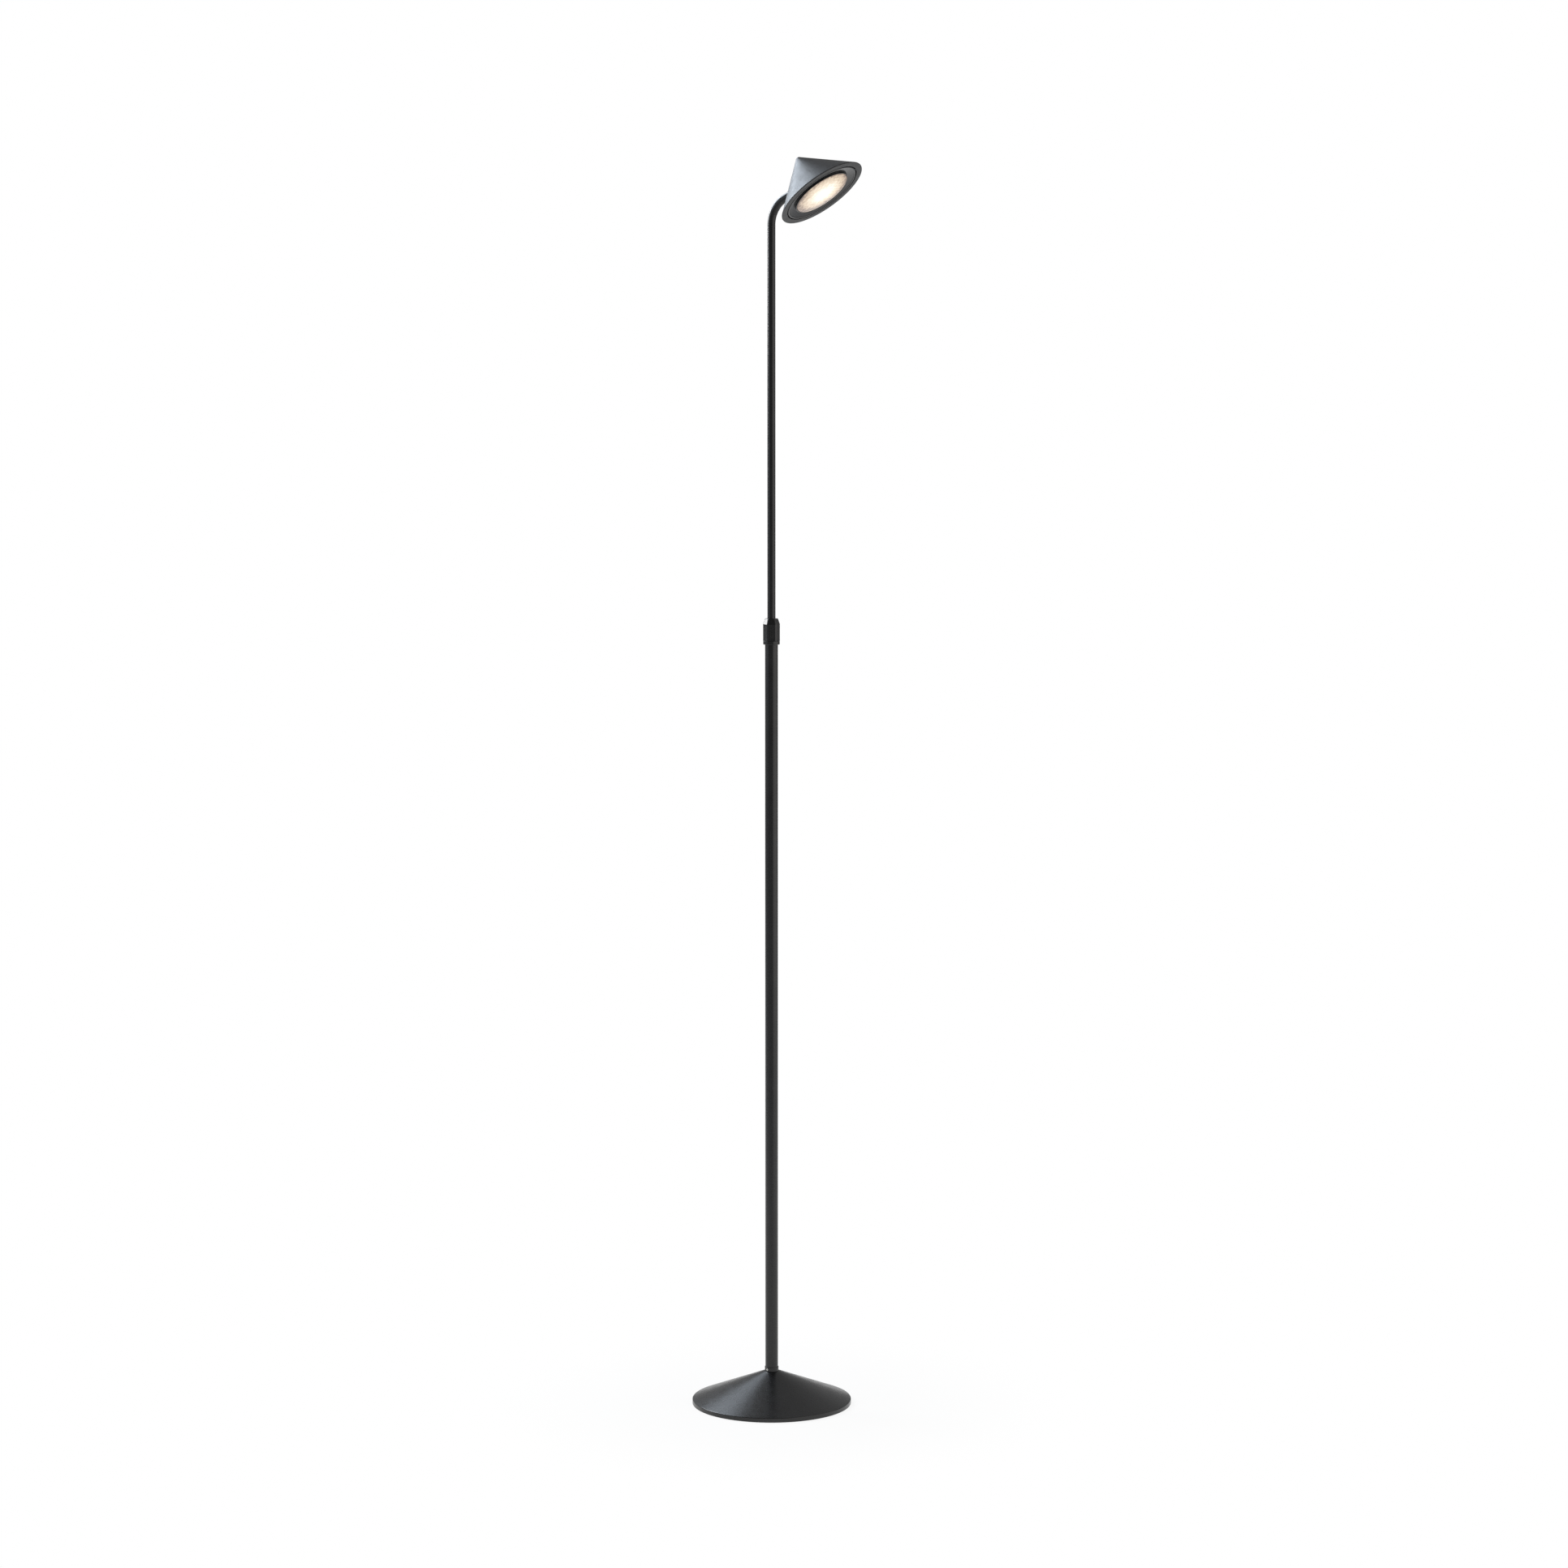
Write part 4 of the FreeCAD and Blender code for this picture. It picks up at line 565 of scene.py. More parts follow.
def nut_points(outline, turns):
    """Turned points whose outer stretch follows the rounded hexagon and its upright grooves."""
    off = (turns - NUT_TURN + math.pi / 6) % (math.pi / 3) - math.pi / 6
    corner = NUT_CORNER_R / NUT_FLAT
    flat = 1 / np.cos(off)
    plan = -np.log(np.exp(-CORNER_SHARPNESS * flat) + np.exp(-CORNER_SHARPNESS * corner)) / CORNER_SHARPNESS
    across, up = outline.T
    over_cone = (up > CAVITY_TOP + CONE_H) & (across > PASS_R + 0.5 * MM)
    outside = (across > NUT_BORE_R + 0.25 * MM) | over_cone
    radius = across[None, :] * np.where(outside[None, :], plan[:, None], 1.0)
    beside = NUT_FLAT * np.tan(off)
    wave = 0.5 - 0.5 * np.cos(2 * math.pi * beside / GROOVE_PITCH)
    rise = np.clip((up - low.z - GROOVE_MARGIN) / GROOVE_FADE, 0, 1)
    fall = np.clip((high.z - CHAMFER_H - GROOVE_TOP_MARGIN - up) / GROOVE_FADE, 0, 1)
    radius = radius - GROOVE_DEPTH * wave[:, None] * (rise * fall * outside)[None, :]
    return np.stack([radius * np.cos(turns)[:, None], radius * np.sin(turns)[:, None],
                     up[None, :] + 0 * radius], axis=-1)


fit_piece(grid_mesh("collar_nut", nut_points(nut_outline, even_turns(480))), satin_coat, "lock_nut")

# %% [markdown]
# ## The upper pole and its bent neck
# The upper pole is one drawn tube: straight, then bent through 62 degrees, then straight into the
# head.  A sweep modifier on a curve would make it, but here the axis is a formula, so the whole
# tube is one grid: each point stands off the centre line by its wall's radius, in the plane of the
# bend or square to it.  The stations lie closer in the bend and round the knuckle's set screw,
# which sits in a small hole in the neck's lower side.

# %% Upper pole
tilt = next(j for j in frame["joints"] if j["name"] == "head_tilt")
PIVOT = np.array(tilt["pos_m"])
low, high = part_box("upper_tube")
UPPER_R = -low.x
UPPER_WALL = 1.0 * MM
NECK_R = 36.0 * MM
NECK_TURN = math.radians(62)
NECK_RUN = 27.45 * MM
SHANK_L = 7.5 * MM
NECK_SCREW_BACK = 13.75 * MM
END_MARGIN = 0.6 * MM
HOLE_HALF_TURN = 0.4
HOLE_TURN_STEP = 0.024
pole_foot = low.z
bend_foot = PIVOT[2] - NECK_RUN * math.cos(NECK_TURN) - NECK_R * math.sin(NECK_TURN)
bend_end = bend_foot - pole_foot + NECK_R * NECK_TURN
neck_end = bend_end + NECK_RUN - SHANK_L
screw_station = bend_end + NECK_RUN - NECK_SCREW_BACK


def neck_line(station):
    """Centre line and its side direction: up to the bend, round it at its radius, then straight on."""
    straight = bend_foot - pole_foot
    turn = np.clip((station - straight) / NECK_R, 0, NECK_TURN)
    past = np.maximum(station - bend_end, 0)
    x = NECK_R * (1 - np.cos(turn)) + past * np.sin(turn)
    z = pole_foot + np.minimum(station, straight) + NECK_R * np.sin(turn) + past * np.cos(turn)
    centre = np.stack([x, 0 * x, z], axis=-1)
    side = np.stack([np.cos(turn), 0 * turn, -np.sin(turn)], axis=-1)
    return centre, side


def swept(radius, station, turns):
    """Tube along the neck: centre + radius (cos a in the bend's plane + sin a square to it)."""
    centre, side = neck_line(station)
    square = np.array([0.0, 1.0, 0.0])
    spoke = np.cos(turns)[:, None, None] * side + np.sin(turns)[:, None, None] * square
    return centre + radius[..., None] * spoke


straight_stations = np.linspace(END_MARGIN, bend_foot - pole_foot, 24)
bend_stations = np.linspace(bend_foot - pole_foot, bend_end, 64)[1:]
run_stations = np.linspace(bend_end, neck_end - END_MARGIN, 8)[1:]
screw_stations = np.arange(screw_station - 2 * MM, screw_station + 2 * MM, 0.12 * MM)
stations = np.unique(np.concatenate([straight_stations, bend_stations, run_stations, screw_stations]))
EDGE = 0.2 * MM
edge = np.linspace(0, math.pi / 2, 5)
edge_in = EDGE * (1 - np.cos(edge))
edge_along = EDGE * (1 - np.sin(edge))
outer = np.concatenate([UPPER_R - edge_in[::-1], UPPER_R + 0 * stations, UPPER_R - edge_in])
outer_at = np.concatenate([edge_along[::-1], stations, neck_end - edge_along])
inner = np.full(len(stations), UPPER_R - UPPER_WALL)
wall_radius = np.concatenate([outer, inner])
wall_station = np.concatenate([outer_at, stations[::-1]])
neck_turns = turns_with_detail(72, math.pi, 2 * math.pi, math.pi / 48)
hole_turns = np.arange(-HOLE_HALF_TURN, HOLE_HALF_TURN, HOLE_TURN_STEP) % (2 * math.pi)
neck_turns = np.unique(np.concatenate([neck_turns, hole_turns]))
apart = (neck_turns + math.pi) % (2 * math.pi) - math.pi
spot = np.hypot(apart[:, None] * UPPER_R, wall_station[None, :] - screw_station)
hole = UPPER_WALL * np.clip((SET_SCREW_R - spot) / (0.12 * MM), 0, 1)
hole = np.where(wall_radius[None, :] > UPPER_R - EDGE, hole, 0)
fit_piece(grid_mesh("upper_pole", swept(wall_radius[None, :] - hole, wall_station, neck_turns)),
          satin_coat, "upper_tube")

# %% [markdown]
# ## The head's own frame
# The head is modelled as if it lay on a bench with its mouth up, and one function sets it in place.
# Out of the mouth is its z axis, which looks down by a little over 50 degrees, and its x axis
# points back at the pole.  The tilt axis lies a known way off the mouth's centre, so the joint's
# place gives the mouth's place.

# %% Head frame
HEAD_DOWN = math.radians(50.3)
PIVOT_SIDE = 18.85 * MM
PIVOT_BACK = 23.8 * MM
head_x = np.array([-math.sin(HEAD_DOWN), 0.0, -math.cos(HEAD_DOWN)])
head_y = np.array([0.0, 1.0, 0.0])
head_z = np.array([math.cos(HEAD_DOWN), 0.0, -math.sin(HEAD_DOWN)])
mouth = PIVOT - PIVOT_SIDE * head_x + PIVOT_BACK * head_z


def at_head(points):
    """From the bench to the lamp: the mouth's centre plus x, y and z along the head's three axes."""
    return mouth + points[..., :1] * head_x + points[..., 1:2] * head_y + points[..., 2:] * head_z


print("mouth's centre", np.round(mouth, 4))

# %% [markdown]
# ## The shade
# The shade is a spun cone with a blunt tip, rolled over at its mouth into a flat flange.  It is one
# closed outline of the sheet's two sides, from the tip outside to the tip inside.  Behind, a long
# slot lets the neck swing as the head tilts.  The slot's cutter is that swing itself: a long hole's
# outline, whose round ends lie on the neck's two end positions, carried outward from the axle.  A
# Boolean takes it out of the sheet, and its result is kept as a plain mesh.

# %% Shade
SHADE_R = 58.6 * MM
SHADE_H = 57.2 * MM
SHADE_WALL = 1.2 * MM
TIP_R = 2.15 * MM
LIP_R = 0.6 * MM
FLANGE_R = 50.0 * MM
SLOT_R = UPPER_R + 0.75 * MM
SLOT_FOOT = 5.5 * MM
TILT_DOWN, TILT_UP = (math.radians(a) for a in tilt["range_deg"])
shade_slope = SHADE_R / SHADE_H
side_wall = SHADE_WALL * math.hypot(1, shade_slope)
tip = TIP_R / shade_slope - SHADE_H
tip_in = tip + SHADE_WALL
tip_in_r = SHADE_R + shade_slope * tip_in - side_wall
flange_in_r = SHADE_R - shade_slope * SHADE_WALL - side_wall
shade_outline = rounded_outline([
    (0, tip), (TIP_R, tip, TIP_R / 2), (SHADE_R, 0, LIP_R), (FLANGE_R, 0, 0.3 * MM),
    (FLANGE_R, -SHADE_WALL, 0.2 * MM), (flange_in_r, -SHADE_WALL, 0.4 * MM),
    (tip_in_r, tip_in), (0, tip_in)],
    steps=8, longest=3 * MM)
shade_mesh = grid_mesh("head_shade", at_head(turned(shade_outline, even_turns(288))), join_columns=False)


def slot_points():
    """The neck's swing: round ends at both ends of the tilt, from near the axle to past the wall."""
    rest = NECK_TURN - HEAD_DOWN
    half = np.linspace(-math.pi / 2, math.pi / 2, 25)
    swing = np.concatenate([np.full(len(half), rest + TILT_UP), np.full(len(half), rest + TILT_DOWN)])
    round_turn = np.concatenate([half, half + math.pi])
    reach = np.linspace(SLOT_FOOT, SHADE_R, 8)[:, None]
    out = np.stack([np.cos(swing), 0 * swing, -np.sin(swing)], axis=-1)
    onward = np.stack([-np.sin(swing), 0 * swing, -np.cos(swing)], axis=-1)
    offset = SLOT_R * (np.cos(round_turn)[:, None] * onward + np.sin(round_turn)[:, None] * head_y)
    return np.array([PIVOT_SIDE, 0, -PIVOT_BACK]) + reach[..., None] * out + offset


def slot_cutter():
    """The swing as a closed mesh: rows round the long hole, columns outward, and a face on each end."""
    points = at_head(np.swapaxes(slot_points(), 0, 1))
    rows, columns = points.shape[:2]
    faces = grid_faces(rows, columns, False).tolist()
    faces.append([i * columns for i in range(rows)])
    faces.append([i * columns + columns - 1 for i in reversed(range(rows))])
    mesh = bpy.data.meshes.new("slot_cutter")
    mesh.from_pydata(points.reshape(-1, 3).tolist(), [], faces)
    work = bmesh.new()
    work.from_mesh(mesh)
    bmesh.ops.recalc_face_normals(work, faces=work.faces)
    work.to_mesh(mesh)
    work.free()
    return mesh


def cut_out(mesh, cutter_mesh):
    """The first mesh less the second, as a plain mesh."""
    body = bpy.data.objects.new("body_to_cut", mesh)
    cutter = bpy.data.objects.new("cutter", cutter_mesh)
    for piece in (body, cutter):
        bpy.context.scene.collection.objects.link(piece)
    boolean = body.modifiers.new("cut", "BOOLEAN")
    boolean.operation = "DIFFERENCE"
    boolean.solver = "EXACT"
    boolean.object = cutter
    evaluated = body.evaluated_get(bpy.context.evaluated_depsgraph_get())
    result = bpy.data.meshes.new_from_object(evaluated)
    result.name = mesh.name + "_slotted"
    for piece in (body, cutter):
        bpy.data.objects.remove(piece)
    return result


slotted = cut_out(shade_mesh, slot_cutter())
slotted.set_sharp_from_angle(angle=math.radians(40))
fit_piece(slotted, shade_coat, "shade")

# %% [markdown]
# ## The ring in the mouth
# The ring is a glossy moulding: a narrow bead beside the dark groove, a shallow dish that falls
# toward the lens and a thin raised lip round it.  Behind the lip a short wall and a ledge hold the
# lens.  All of it is one outline turned on the bench and set in the mouth.

# %% Trim ring
RING_R = 49.0 * MM
RING_SKIRT = 5.0 * MM
RING_WALL = 1.2 * MM
BEAD_ROUND = 1.04 * MM
DISH_OUT = 46.5 * MM
DISH_IN = 37.6 * MM
DISH_EDGE = 0.6 * MM
DISH_DEEP = 2.2 * MM
LIP_TOP = 0.0 * MM
LENS_R = 35.7 * MM
LENS_WALL_R = LENS_R + 0.5 * MM
LEDGE_FRONT = -3.1 * MM
LEDGE_R = LENS_R - 1.5 * MM
LEDGE_T = 0.8 * MM
dish_wall = LENS_WALL_R + RING_WALL
ring_outline = rounded_outline([
    (RING_R, -RING_SKIRT), (RING_R, 0, BEAD_ROUND), (DISH_OUT + 0.2 * MM, 0, BEAD_ROUND),
    (DISH_OUT - 0.3 * MM, -DISH_EDGE, 0.4 * MM), (DISH_IN, -DISH_DEEP, 0.3 * MM),
    (DISH_IN - 0.2 * MM, LIP_TOP, 0.2 * MM), (LENS_WALL_R, LIP_TOP, 0.2 * MM), (LENS_WALL_R, LEDGE_FRONT),
    (LEDGE_R, LEDGE_FRONT), (LEDGE_R, LEDGE_FRONT - LEDGE_T), (dish_wall, LEDGE_FRONT - LEDGE_T),
    (dish_wall, -DISH_DEEP - RING_WALL), (DISH_OUT - 0.6 * MM, -DISH_EDGE - RING_WALL),
    (RING_R - RING_WALL, -DISH_EDGE - RING_WALL), (RING_R - RING_WALL, -RING_SKIRT)])
fit_piece(grid_mesh("mouth_ring", at_head(turned(ring_outline, even_turns(288)))),
          ring_coat, "trim_ring")

# %% [markdown]
# ## The lens
# The lens is clear moulded glass with a low dome, and its face is broken into small soft pillows
# that smear the light source into streaks.  The pillows are in the mesh: the dome's height plus
# three plane waves, a sixth of a turn apart, whose sum is a field of rounded bumps, fading out at
# the edge.

# %% Lens
LENS_BACK = -2.7 * MM
LENS_EDGE = 0.3 * MM
LENS_CROWN = 3.0 * MM
PILLOW_PITCH = 5.0 * MM
PILLOW_H = 0.16 * MM


def dome(radius):
    """Height of a sphere cap over the lens's edge."""
    sphere = (LENS_R ** 2 + LENS_CROWN ** 2) / (2 * LENS_CROWN)
    return np.sqrt(sphere ** 2 - radius ** 2) - (sphere - LENS_CROWN)


def pillows(x, y):
    """Sum of three plane waves a sixth of a turn apart, from none to one."""
    waves = 0
    for turn in (0, math.pi / 3, 2 * math.pi / 3):
        waves = waves + np.cos(2 * math.pi * (x * math.cos(turn) + y * math.sin(turn)) / PILLOW_PITCH)
    return (waves + 1.5) / 4.5


dome_r = np.linspace(LENS_R - 0.2 * MM, 0, 110)
lens_profile = np.concatenate([
    [[0, LENS_BACK], [LENS_R - 0.6 * MM, LENS_BACK], [LENS_R - 0.15 * MM, LENS_BACK],
     [LENS_R, LENS_BACK + 0.15 * MM], [LENS_R, LENS_BACK + 0.5 * MM], [LENS_R, LENS_EDGE - 0.5 * MM],
     [LENS_R, LENS_EDGE - 0.15 * MM]],
    np.stack([dome_r, LENS_EDGE + dome(dome_r)], axis=-1)])
lens_points = turned(lens_profile, even_turns(240))
fade = np.clip((LENS_R - 1.5 * MM - lens_profile[:, 0]) / (2 * MM), 0, 1) * (lens_profile[:, 1] > LENS_EDGE)
lens_points[..., 2] -= PILLOW_H * fade * (1 - pillows(lens_points[..., 0], lens_points[..., 1]))
lens_mesh = grid_mesh("lamp_lens", at_head(lens_points), join_columns=False)


def lay_uv(mesh, origin, axis_x, axis_y, half):
    """A UV map from the flat view along the head's axis: the middle at 0, 0 and the lens's edge at one."""
    corners = np.empty(len(mesh.vertices) * 3)
    mesh.vertices.foreach_get("co", corners)
    offset = corners.reshape(-1, 3) - origin
    flat = np.stack([offset @ axis_x, offset @ axis_y], axis=-1) / half
    index = np.empty(len(mesh.loops), dtype=np.int32)
    mesh.loops.foreach_get("vertex_index", index)
    mesh.uv_layers.new(name="face_of_lens").data.foreach_set("uv", flat[index].ravel())


lay_uv(lens_mesh, mouth, head_x, head_y, LENS_R)
print("lens dome rises", round(float(dome(0)) * 1000, 2), "mm")


# %% [markdown]
# ## The glow of the lens
# The lamp is lit, and its light through the lens is painted on the glass as emission: a painted
# hot spot, white where the light source stands behind it, warm and streaked toward the edge, then
# painted shade of dark brown at the edge, and a painted lit rim on the far side.  A plain flat disc
# of light would look like paper, so the glow follows a colour ramp over the distance from the hot
# spot, broken by noise.  Places on the lens are in lens radii from its middle.

# %% Glow of the lens
HOT_SPOT = (-0.085, -0.08)
FAR_EDGE = (0.50, 0.866, 0.0)
STREAK_SHARE = 0.35
CELL_SHARE = 0.22
RAMP_SCALE = 0.6
# Where the painted lit rim at the lens's edge starts and is full, in lens radii.
LIT_RIM_FROM = 0.955
LIT_RIM_FULL = 0.98
# Over what reach toward the far side the painted lit rim fades in.
LIT_RIM_SIDE_FROM = 0.3
LIT_RIM_SIDE_FULL = 0.85
# Ramp of the painted glow: white at the hot spot, then warm, falling to painted shade of dark brown.
GLOW_AND_SHADE_STOPS = ((0.18, (1.0, 0.99, 0.96)), (0.38, (1.0, 0.91, 0.78)), (0.52, (0.80, 0.67, 0.51)),
              (0.64, (0.60, 0.47, 0.34)), (0.73, (0.27, 0.19, 0.14)), (0.82, (0.11, 0.075, 0.06)))


def lens_pattern(tree, place):
    """Two patterns on the lens: long streaks across it, and rounded cells like its pillows."""
    stretched = tree.nodes.new("ShaderNodeMapping")
    stretched.inputs["Rotation"].default_value = (0, 0, math.radians(25))
    stretched.inputs["Scale"].default_value = (1.2, 4.0, 1.0)
    streaks = tree.nodes.new("ShaderNodeTexNoise")
    streaks.inputs["Scale"].default_value = 2.6
    streaks.inputs["Detail"].default_value = 4.0
    streaks.inputs["Distortion"].default_value = 0.8
    cells = tree.nodes.new("ShaderNodeTexVoronoi")
    cells.inputs["Scale"].default_value = 9.0
    tree.links.new(place, stretched.inputs["Vector"])
    tree.links.new(stretched.outputs["Vector"], streaks.inputs["Vector"])
    tree.links.new(place, cells.inputs["Vector"])
    return streaks.outputs["Fac"], cells.outputs["Distance"]


def length_of(tree, place, middle=(0.0, 0.0)):
    """Distance of a place on the lens from a point of it, in lens radii."""
    centred = tree.nodes.new("ShaderNodeMapping")
    centred.inputs["Location"].default_value = (-middle[0], -middle[1], 0)
    distance = tree.nodes.new("ShaderNodeVectorMath")
    distance.operation = "LENGTH"
    tree.links.new(place, centred.inputs["Vector"])
    tree.links.new(centred.outputs["Vector"], distance.inputs[0])
    return distance.outputs["Value"]


def lens_glow(name):
    """Glossy glass with a painted glow: white hot spot, painted shade to brown edges, lit rim on one side.

    The place on the colour ramp is the scaled sum of the distance, the streaks and the cells.
    The Mix node has sockets of one name for each kind of value, so its colours are taken by number.
    """
    finish, shader = new_finish(name, specular=0.5, emission=1.0)
    tree = finish.node_tree
    shader.inputs["Roughness"].default_value = 0.08
    shader.inputs["Base Color"].default_value = (0.08, 0.07, 0.06, 1.0)
    laid = tree.nodes.new("ShaderNodeUVMap")
    laid.uv_map = "face_of_lens"
    place = laid.outputs["UV"]
    streaks, cells = lens_pattern(tree, place)
    total = worked_out(tree, "MULTIPLY_ADD", streaks, STREAK_SHARE, length_of(tree, place, HOT_SPOT))
    total = worked_out(tree, "MULTIPLY_ADD", cells, CELL_SHARE, total)
    ramp = tree.nodes.new("ShaderNodeValToRGB")
    stops = ramp.color_ramp.elements
    stops[0].position, stops[0].color = GLOW_AND_SHADE_STOPS[0][0], (*GLOW_AND_SHADE_STOPS[0][1], 1.0)
    stops[1].position, stops[1].color = GLOW_AND_SHADE_STOPS[-1][0], (*GLOW_AND_SHADE_STOPS[-1][1], 1.0)
    for position, colour in GLOW_AND_SHADE_STOPS[1:-1]:
        stops.new(position).color = (*colour, 1.0)
    tree.links.new(worked_out(tree, "MULTIPLY", total, RAMP_SCALE), ramp.inputs["Fac"])
    # A painted lit rim: a pale band at the lens's edge, on its far side only.
    edge = eased(tree, length_of(tree, place), LIT_RIM_FROM, LIT_RIM_FULL)
    far = eased(tree, along(tree, place, FAR_EDGE), LIT_RIM_SIDE_FROM, LIT_RIM_SIDE_FULL)
    rim = tree.nodes.new("ShaderNodeMix")
    rim.data_type = "RGBA"
    first_colour, lit_rim_colour, mixed_colour = rim.inputs[6], rim.inputs[7], rim.outputs[2]
    tree.links.new(worked_out(tree, "MULTIPLY", edge, far), rim.inputs["Factor"])
    tree.links.new(ramp.outputs["Color"], first_colour)
    lit_rim_colour.default_value = (0.85, 0.64, 0.46, 1.0)
    tree.links.new(mixed_colour, shader.inputs["Emission Color"])
    return finish


fit_piece(lens_mesh, lens_glow("lit_lens"), "glass_lens")

# %% [markdown]
# ## Where the photograph is taken from
# The paper, the camera and the lamps are all placed from the photograph's own direction: toward the
# camera and to its right, both level.

# %% The photograph's direction
VIEW_TURN = math.radians(32.2)
VIEW_DOWN = math.radians(7.133)
back_ward = np.array([math.sin(VIEW_TURN), -math.cos(VIEW_TURN), 0.0])
right_ward = np.array([math.cos(VIEW_TURN), math.sin(VIEW_TURN), 0.0])
print("the photograph is taken from", np.round(back_ward, 3))

# %% [markdown]
# ## Floor and white surroundings
# The photograph has the lamp on pure white: a roll of white paper, 2.7 m wide, that lies under the
# lamp and rises behind it.  The floor is a pale diffuse plane.  To the eye and through clear glass
# it is a plain white of strength one, and so is the paper in gloss.  Near the foot a share of the
# lit plane is left, so that the lamp's shadow stays.  Beside the paper, gloss finds only the lit
# floor of the room, which keeps the poles black.


# %% Floor
def seen_rays(tree, kinds):
    """One where the ray is of any of the given kinds, nothing elsewhere."""
    path = tree.nodes.new("ShaderNodeLightPath")
    total = path.outputs[kinds[0]]
    for kind in kinds[1:]:
        total = worked_out(tree, "MAXIMUM", total, path.outputs[kind])
    return total


PAPER_HALF = 1.35
PAPER_FRONT = -0.8
PAPER_EDGE = 0.15
SHADOW_R = 0.10
CLEAR_R = 0.40
WHITE_AT_FOOT = 0.9


def paper_share(tree, place):
    """One on the paper, nothing beside it or in front of its end, with a soft edge."""
    side = worked_out(tree, "ABSOLUTE", along(tree, place, right_ward))
    on_width = eased(tree, side, PAPER_HALF, PAPER_HALF + PAPER_EDGE, 1.0, 0.0)
    on_length = eased(tree, along(tree, place, -back_ward), PAPER_FRONT - PAPER_EDGE, PAPER_FRONT)
    return worked_out(tree, "MULTIPLY", on_width, on_length)


def floor_finish(name):
    """Paint that is plain white to the eye and paper in gloss, with its shading near the foot."""
    finish = bpy.data.materials.new(name)
    finish.use_nodes = True
    tree = finish.node_tree
    tree.nodes.clear()
    place = tree.nodes.new("ShaderNodeTexCoord").outputs["Object"]
    paint = tree.nodes.new("ShaderNodeBsdfDiffuse")
    paint.inputs["Color"].default_value = (0.8, 0.8, 0.8, 1.0)
    plain = tree.nodes.new("ShaderNodeEmission")
    plain.inputs["Strength"].default_value = 1.0
    from_foot = tree.nodes.new("ShaderNodeVectorMath")
    from_foot.operation = "LENGTH"
    tree.links.new(place, from_foot.inputs[0])
    clear = eased(tree, from_foot.outputs["Value"], SHADOW_R, CLEAR_R, WHITE_AT_FOOT, 1.0)
    gloss = worked_out(tree, "MULTIPLY", seen_rays(tree, ["Is Glossy Ray"]), paper_share(tree, place))
    white = worked_out(tree, "MAXIMUM", seen_rays(tree, ["Is Camera Ray", "Is Transmission Ray"]), gloss)
    mix = tree.nodes.new("ShaderNodeMixShader")
    out = tree.nodes.new("ShaderNodeOutputMaterial")
    tree.links.new(worked_out(tree, "MULTIPLY", white, clear), mix.inputs["Fac"])
    tree.links.new(paint.outputs["BSDF"], mix.inputs[1])
    tree.links.new(plain.outputs["Emission"], mix.inputs[2])
    tree.links.new(mix.outputs["Shader"], out.inputs["Surface"])
    return finish


FLOOR_R = 8.0
floor_rings = np.stack([np.array([FLOOR_R, 2.0, 0.5, 0.0]), np.zeros(4)], axis=-1)
floor_mesh = grid_mesh("studio_floor", turned(floor_rings, even_turns(64)), join_columns=False)
floor_mesh.materials.append(floor_finish("floor_paint"))
studio_floor = bpy.data.objects.new("studio_floor", floor_mesh)
bpy.context.scene.collection.objects.link(studio_floor)
print("floor faces", len(floor_mesh.polygons))

# %% [markdown]
# ## Camera
# The photograph is taken from the front right of the lamp, at the height of its head, with a long
# lens that looks a little down.  The distance and the focal length come from the lamp's known
# height and from how much the round foot is foreshortened.

# %% Camera
VIEW_DISTANCE = 5.721
VIEW_SIDE = 0.0155
VIEW_HEIGHT = 1.503
SENSOR_WIDTH = 36.0
FOCAL_LENGTH = 106.62
camera_data = bpy.data.cameras.new("photo_camera")
camera_data.sensor_width = SENSOR_WIDTH
camera_data.lens = FOCAL_LENGTH
camera = bpy.data.objects.new("photo_camera", camera_data)
camera.location = back_ward * VIEW_DISTANCE + right_ward * VIEW_SIDE + np.array([0, 0, VIEW_HEIGHT])
camera.rotation_euler = (math.pi / 2 - VIEW_DOWN, 0, VIEW_TURN)
bpy.context.scene.collection.objects.link(camera)
bpy.context.scene.camera = camera
print("camera at", [round(v, 3) for v in camera.location])

# %% [markdown]
# ## Lights
# The black coat shows its surroundings more than itself, so the lamps stand where the photograph's
# highlights say that they are.  A cool panel behind the lamp on its left greys the left half of the
# foot, and a second one above it reaches up to where the middle of the cone looks.  A small strong
# box further left draws the white line on the foot's rim and the white facet on the nut.  A wide
# box on the right front and a weaker one on the left draw the two soft streaks of the poles.


# %% World
ROOM_BEHIND = 0.14
ROOM_AHEAD = 0.35
ROOM_FROM = -0.6
ROOM_TO = 0.7
PAPER_OUTER = math.radians(16)
PAPER_INNER = math.radians(12)
DIFFUSE_WHITE = 0.4


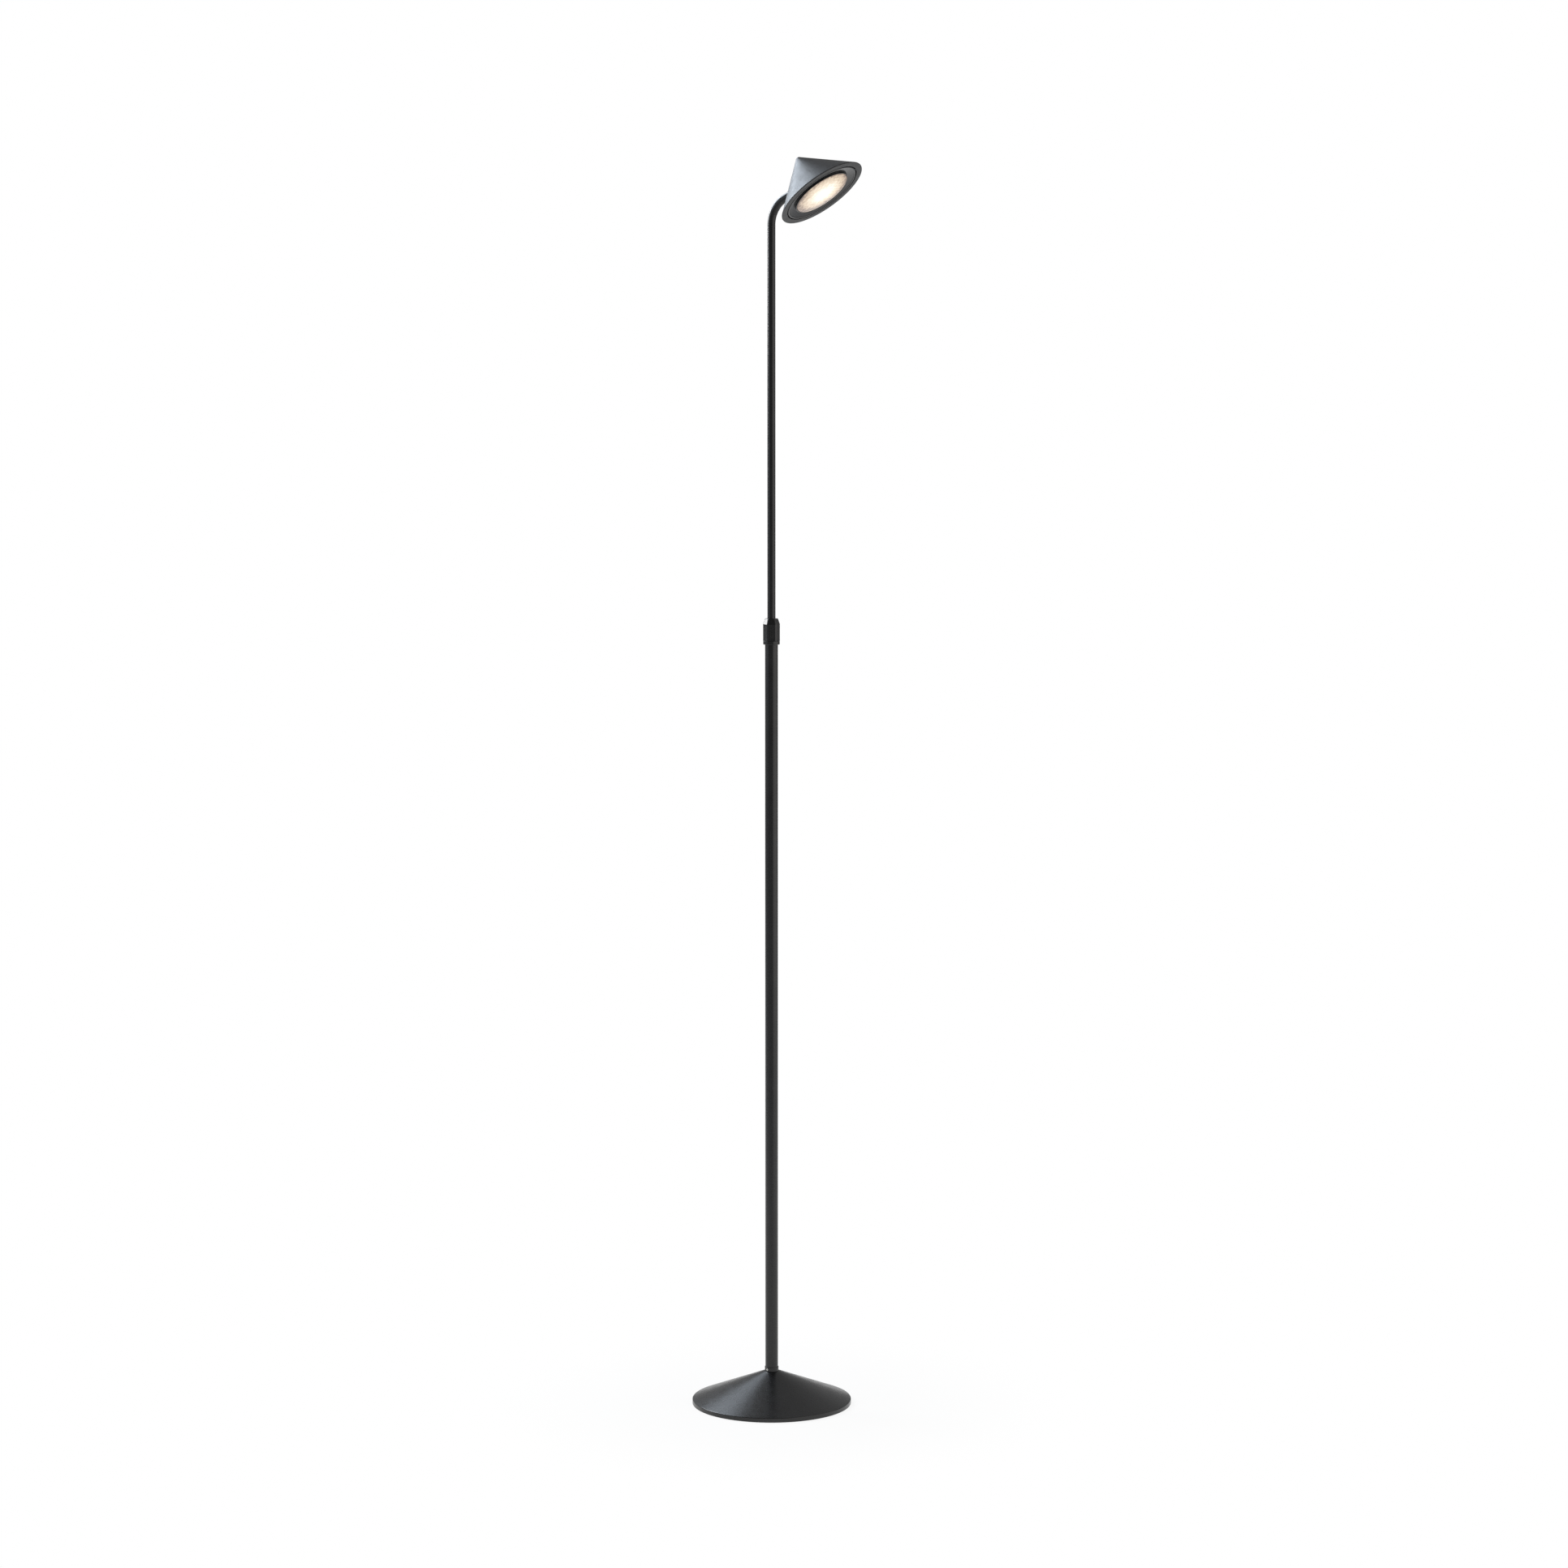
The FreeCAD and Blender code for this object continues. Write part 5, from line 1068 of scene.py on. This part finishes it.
def studio_world():
    """White to the eye.  In gloss, white where the paper rises, else a room darker behind the camera."""
    world = bpy.data.worlds.new("studio")
    world.use_nodes = True
    tree = world.node_tree
    background = tree.nodes["Background"]
    direction = tree.nodes.new("ShaderNodeTexCoord").outputs["Generated"]
    ahead = np.append(-back_ward[:2] * math.cos(VIEW_DOWN), -math.sin(VIEW_DOWN))
    room = eased(tree, along(tree, direction, -back_ward), ROOM_FROM, ROOM_TO, ROOM_BEHIND, ROOM_AHEAD)
    paper = eased(tree, along(tree, direction, ahead), math.cos(PAPER_OUTER), math.cos(PAPER_INNER))
    gloss = worked_out(tree, "MAXIMUM", room, paper)
    glossy = tree.nodes.new("ShaderNodeMix")
    glossy.inputs["A"].default_value = DIFFUSE_WHITE
    seen = tree.nodes.new("ShaderNodeMix")
    seen.inputs["B"].default_value = 1.0
    link = tree.links.new
    link(seen_rays(tree, ["Is Glossy Ray"]), glossy.inputs["Factor"])
    link(gloss, glossy.inputs["B"])
    link(seen_rays(tree, ["Is Camera Ray", "Is Transmission Ray"]), seen.inputs["Factor"])
    link(glossy.outputs["Result"], seen.inputs["A"])
    link(seen.outputs["Result"], background.inputs["Strength"])
    background.inputs["Color"].default_value = (1.0, 1.0, 1.0, 1.0)
    bpy.context.scene.world = world

# %% [markdown]
# ## The lamps
# Each lamp is given by its turn to the left of straight behind the lamp, its rise, its distance and
# the point that it is aimed at, and from these its place and its direction follow.


# %% Area lamps
def soft_box(name, left_turn, rise, distance, width, height, watts, colour, aim):
    """Area lamp at a turn to the left of straight behind the lamp, facing the point that it is aimed at."""
    data = bpy.data.lights.new(name, "AREA")
    data.shape = "RECTANGLE"
    data.size = width
    data.size_y = height
    data.energy = watts
    data.color = colour
    lamp = bpy.data.objects.new(name, data)
    flat = -back_ward * math.cos(left_turn) - right_ward * math.sin(left_turn)
    out = flat * math.cos(rise) + np.array([0, 0, math.sin(rise)])
    lamp.location = np.array(aim) + out * distance
    lamp.rotation_euler = (math.pi / 2 - rise, 0, math.atan2(flat[1], flat[0]) + math.pi / 2)
    lamp.visible_camera = False
    bpy.context.scene.collection.objects.link(lamp)
    print(name, "at", np.round(np.array(lamp.location), 2), watts, "W")


studio_world()
deg = math.radians
COOL = (0.80, 0.89, 1.0)
PLAIN = (1.0, 1.0, 1.0)
WARM = (1.0, 0.97, 0.94)
soft_box("back_panel", deg(42), deg(14), 2.05, 1.9, 1.1, 9.0, COOL, (0, 0, 1.5))
soft_box("cone_panel", deg(45), deg(28), 3.0, 1.7, 1.6, 64.0, COOL, (0, 0, 1.5))
soft_box("hot_box", deg(61), deg(12.8), 2.26, 0.8, 0.8, 28.0, PLAIN, (0, 0, 1.2))
soft_box("right_fill", deg(-115), 0.0, 2.2, 3.1, 2.4, 23.0, WARM, (0, 0, 1.2))
soft_box("left_fill", deg(102), 0.0, 2.2, 1.8, 1.55, 6.6, COOL, (0, 0, 1.5))

# %% [markdown]
# ## Last settings
# The Standard view shows a colour as it is written.

# %% Finish
bpy.context.scene.view_settings.view_transform = "Standard"
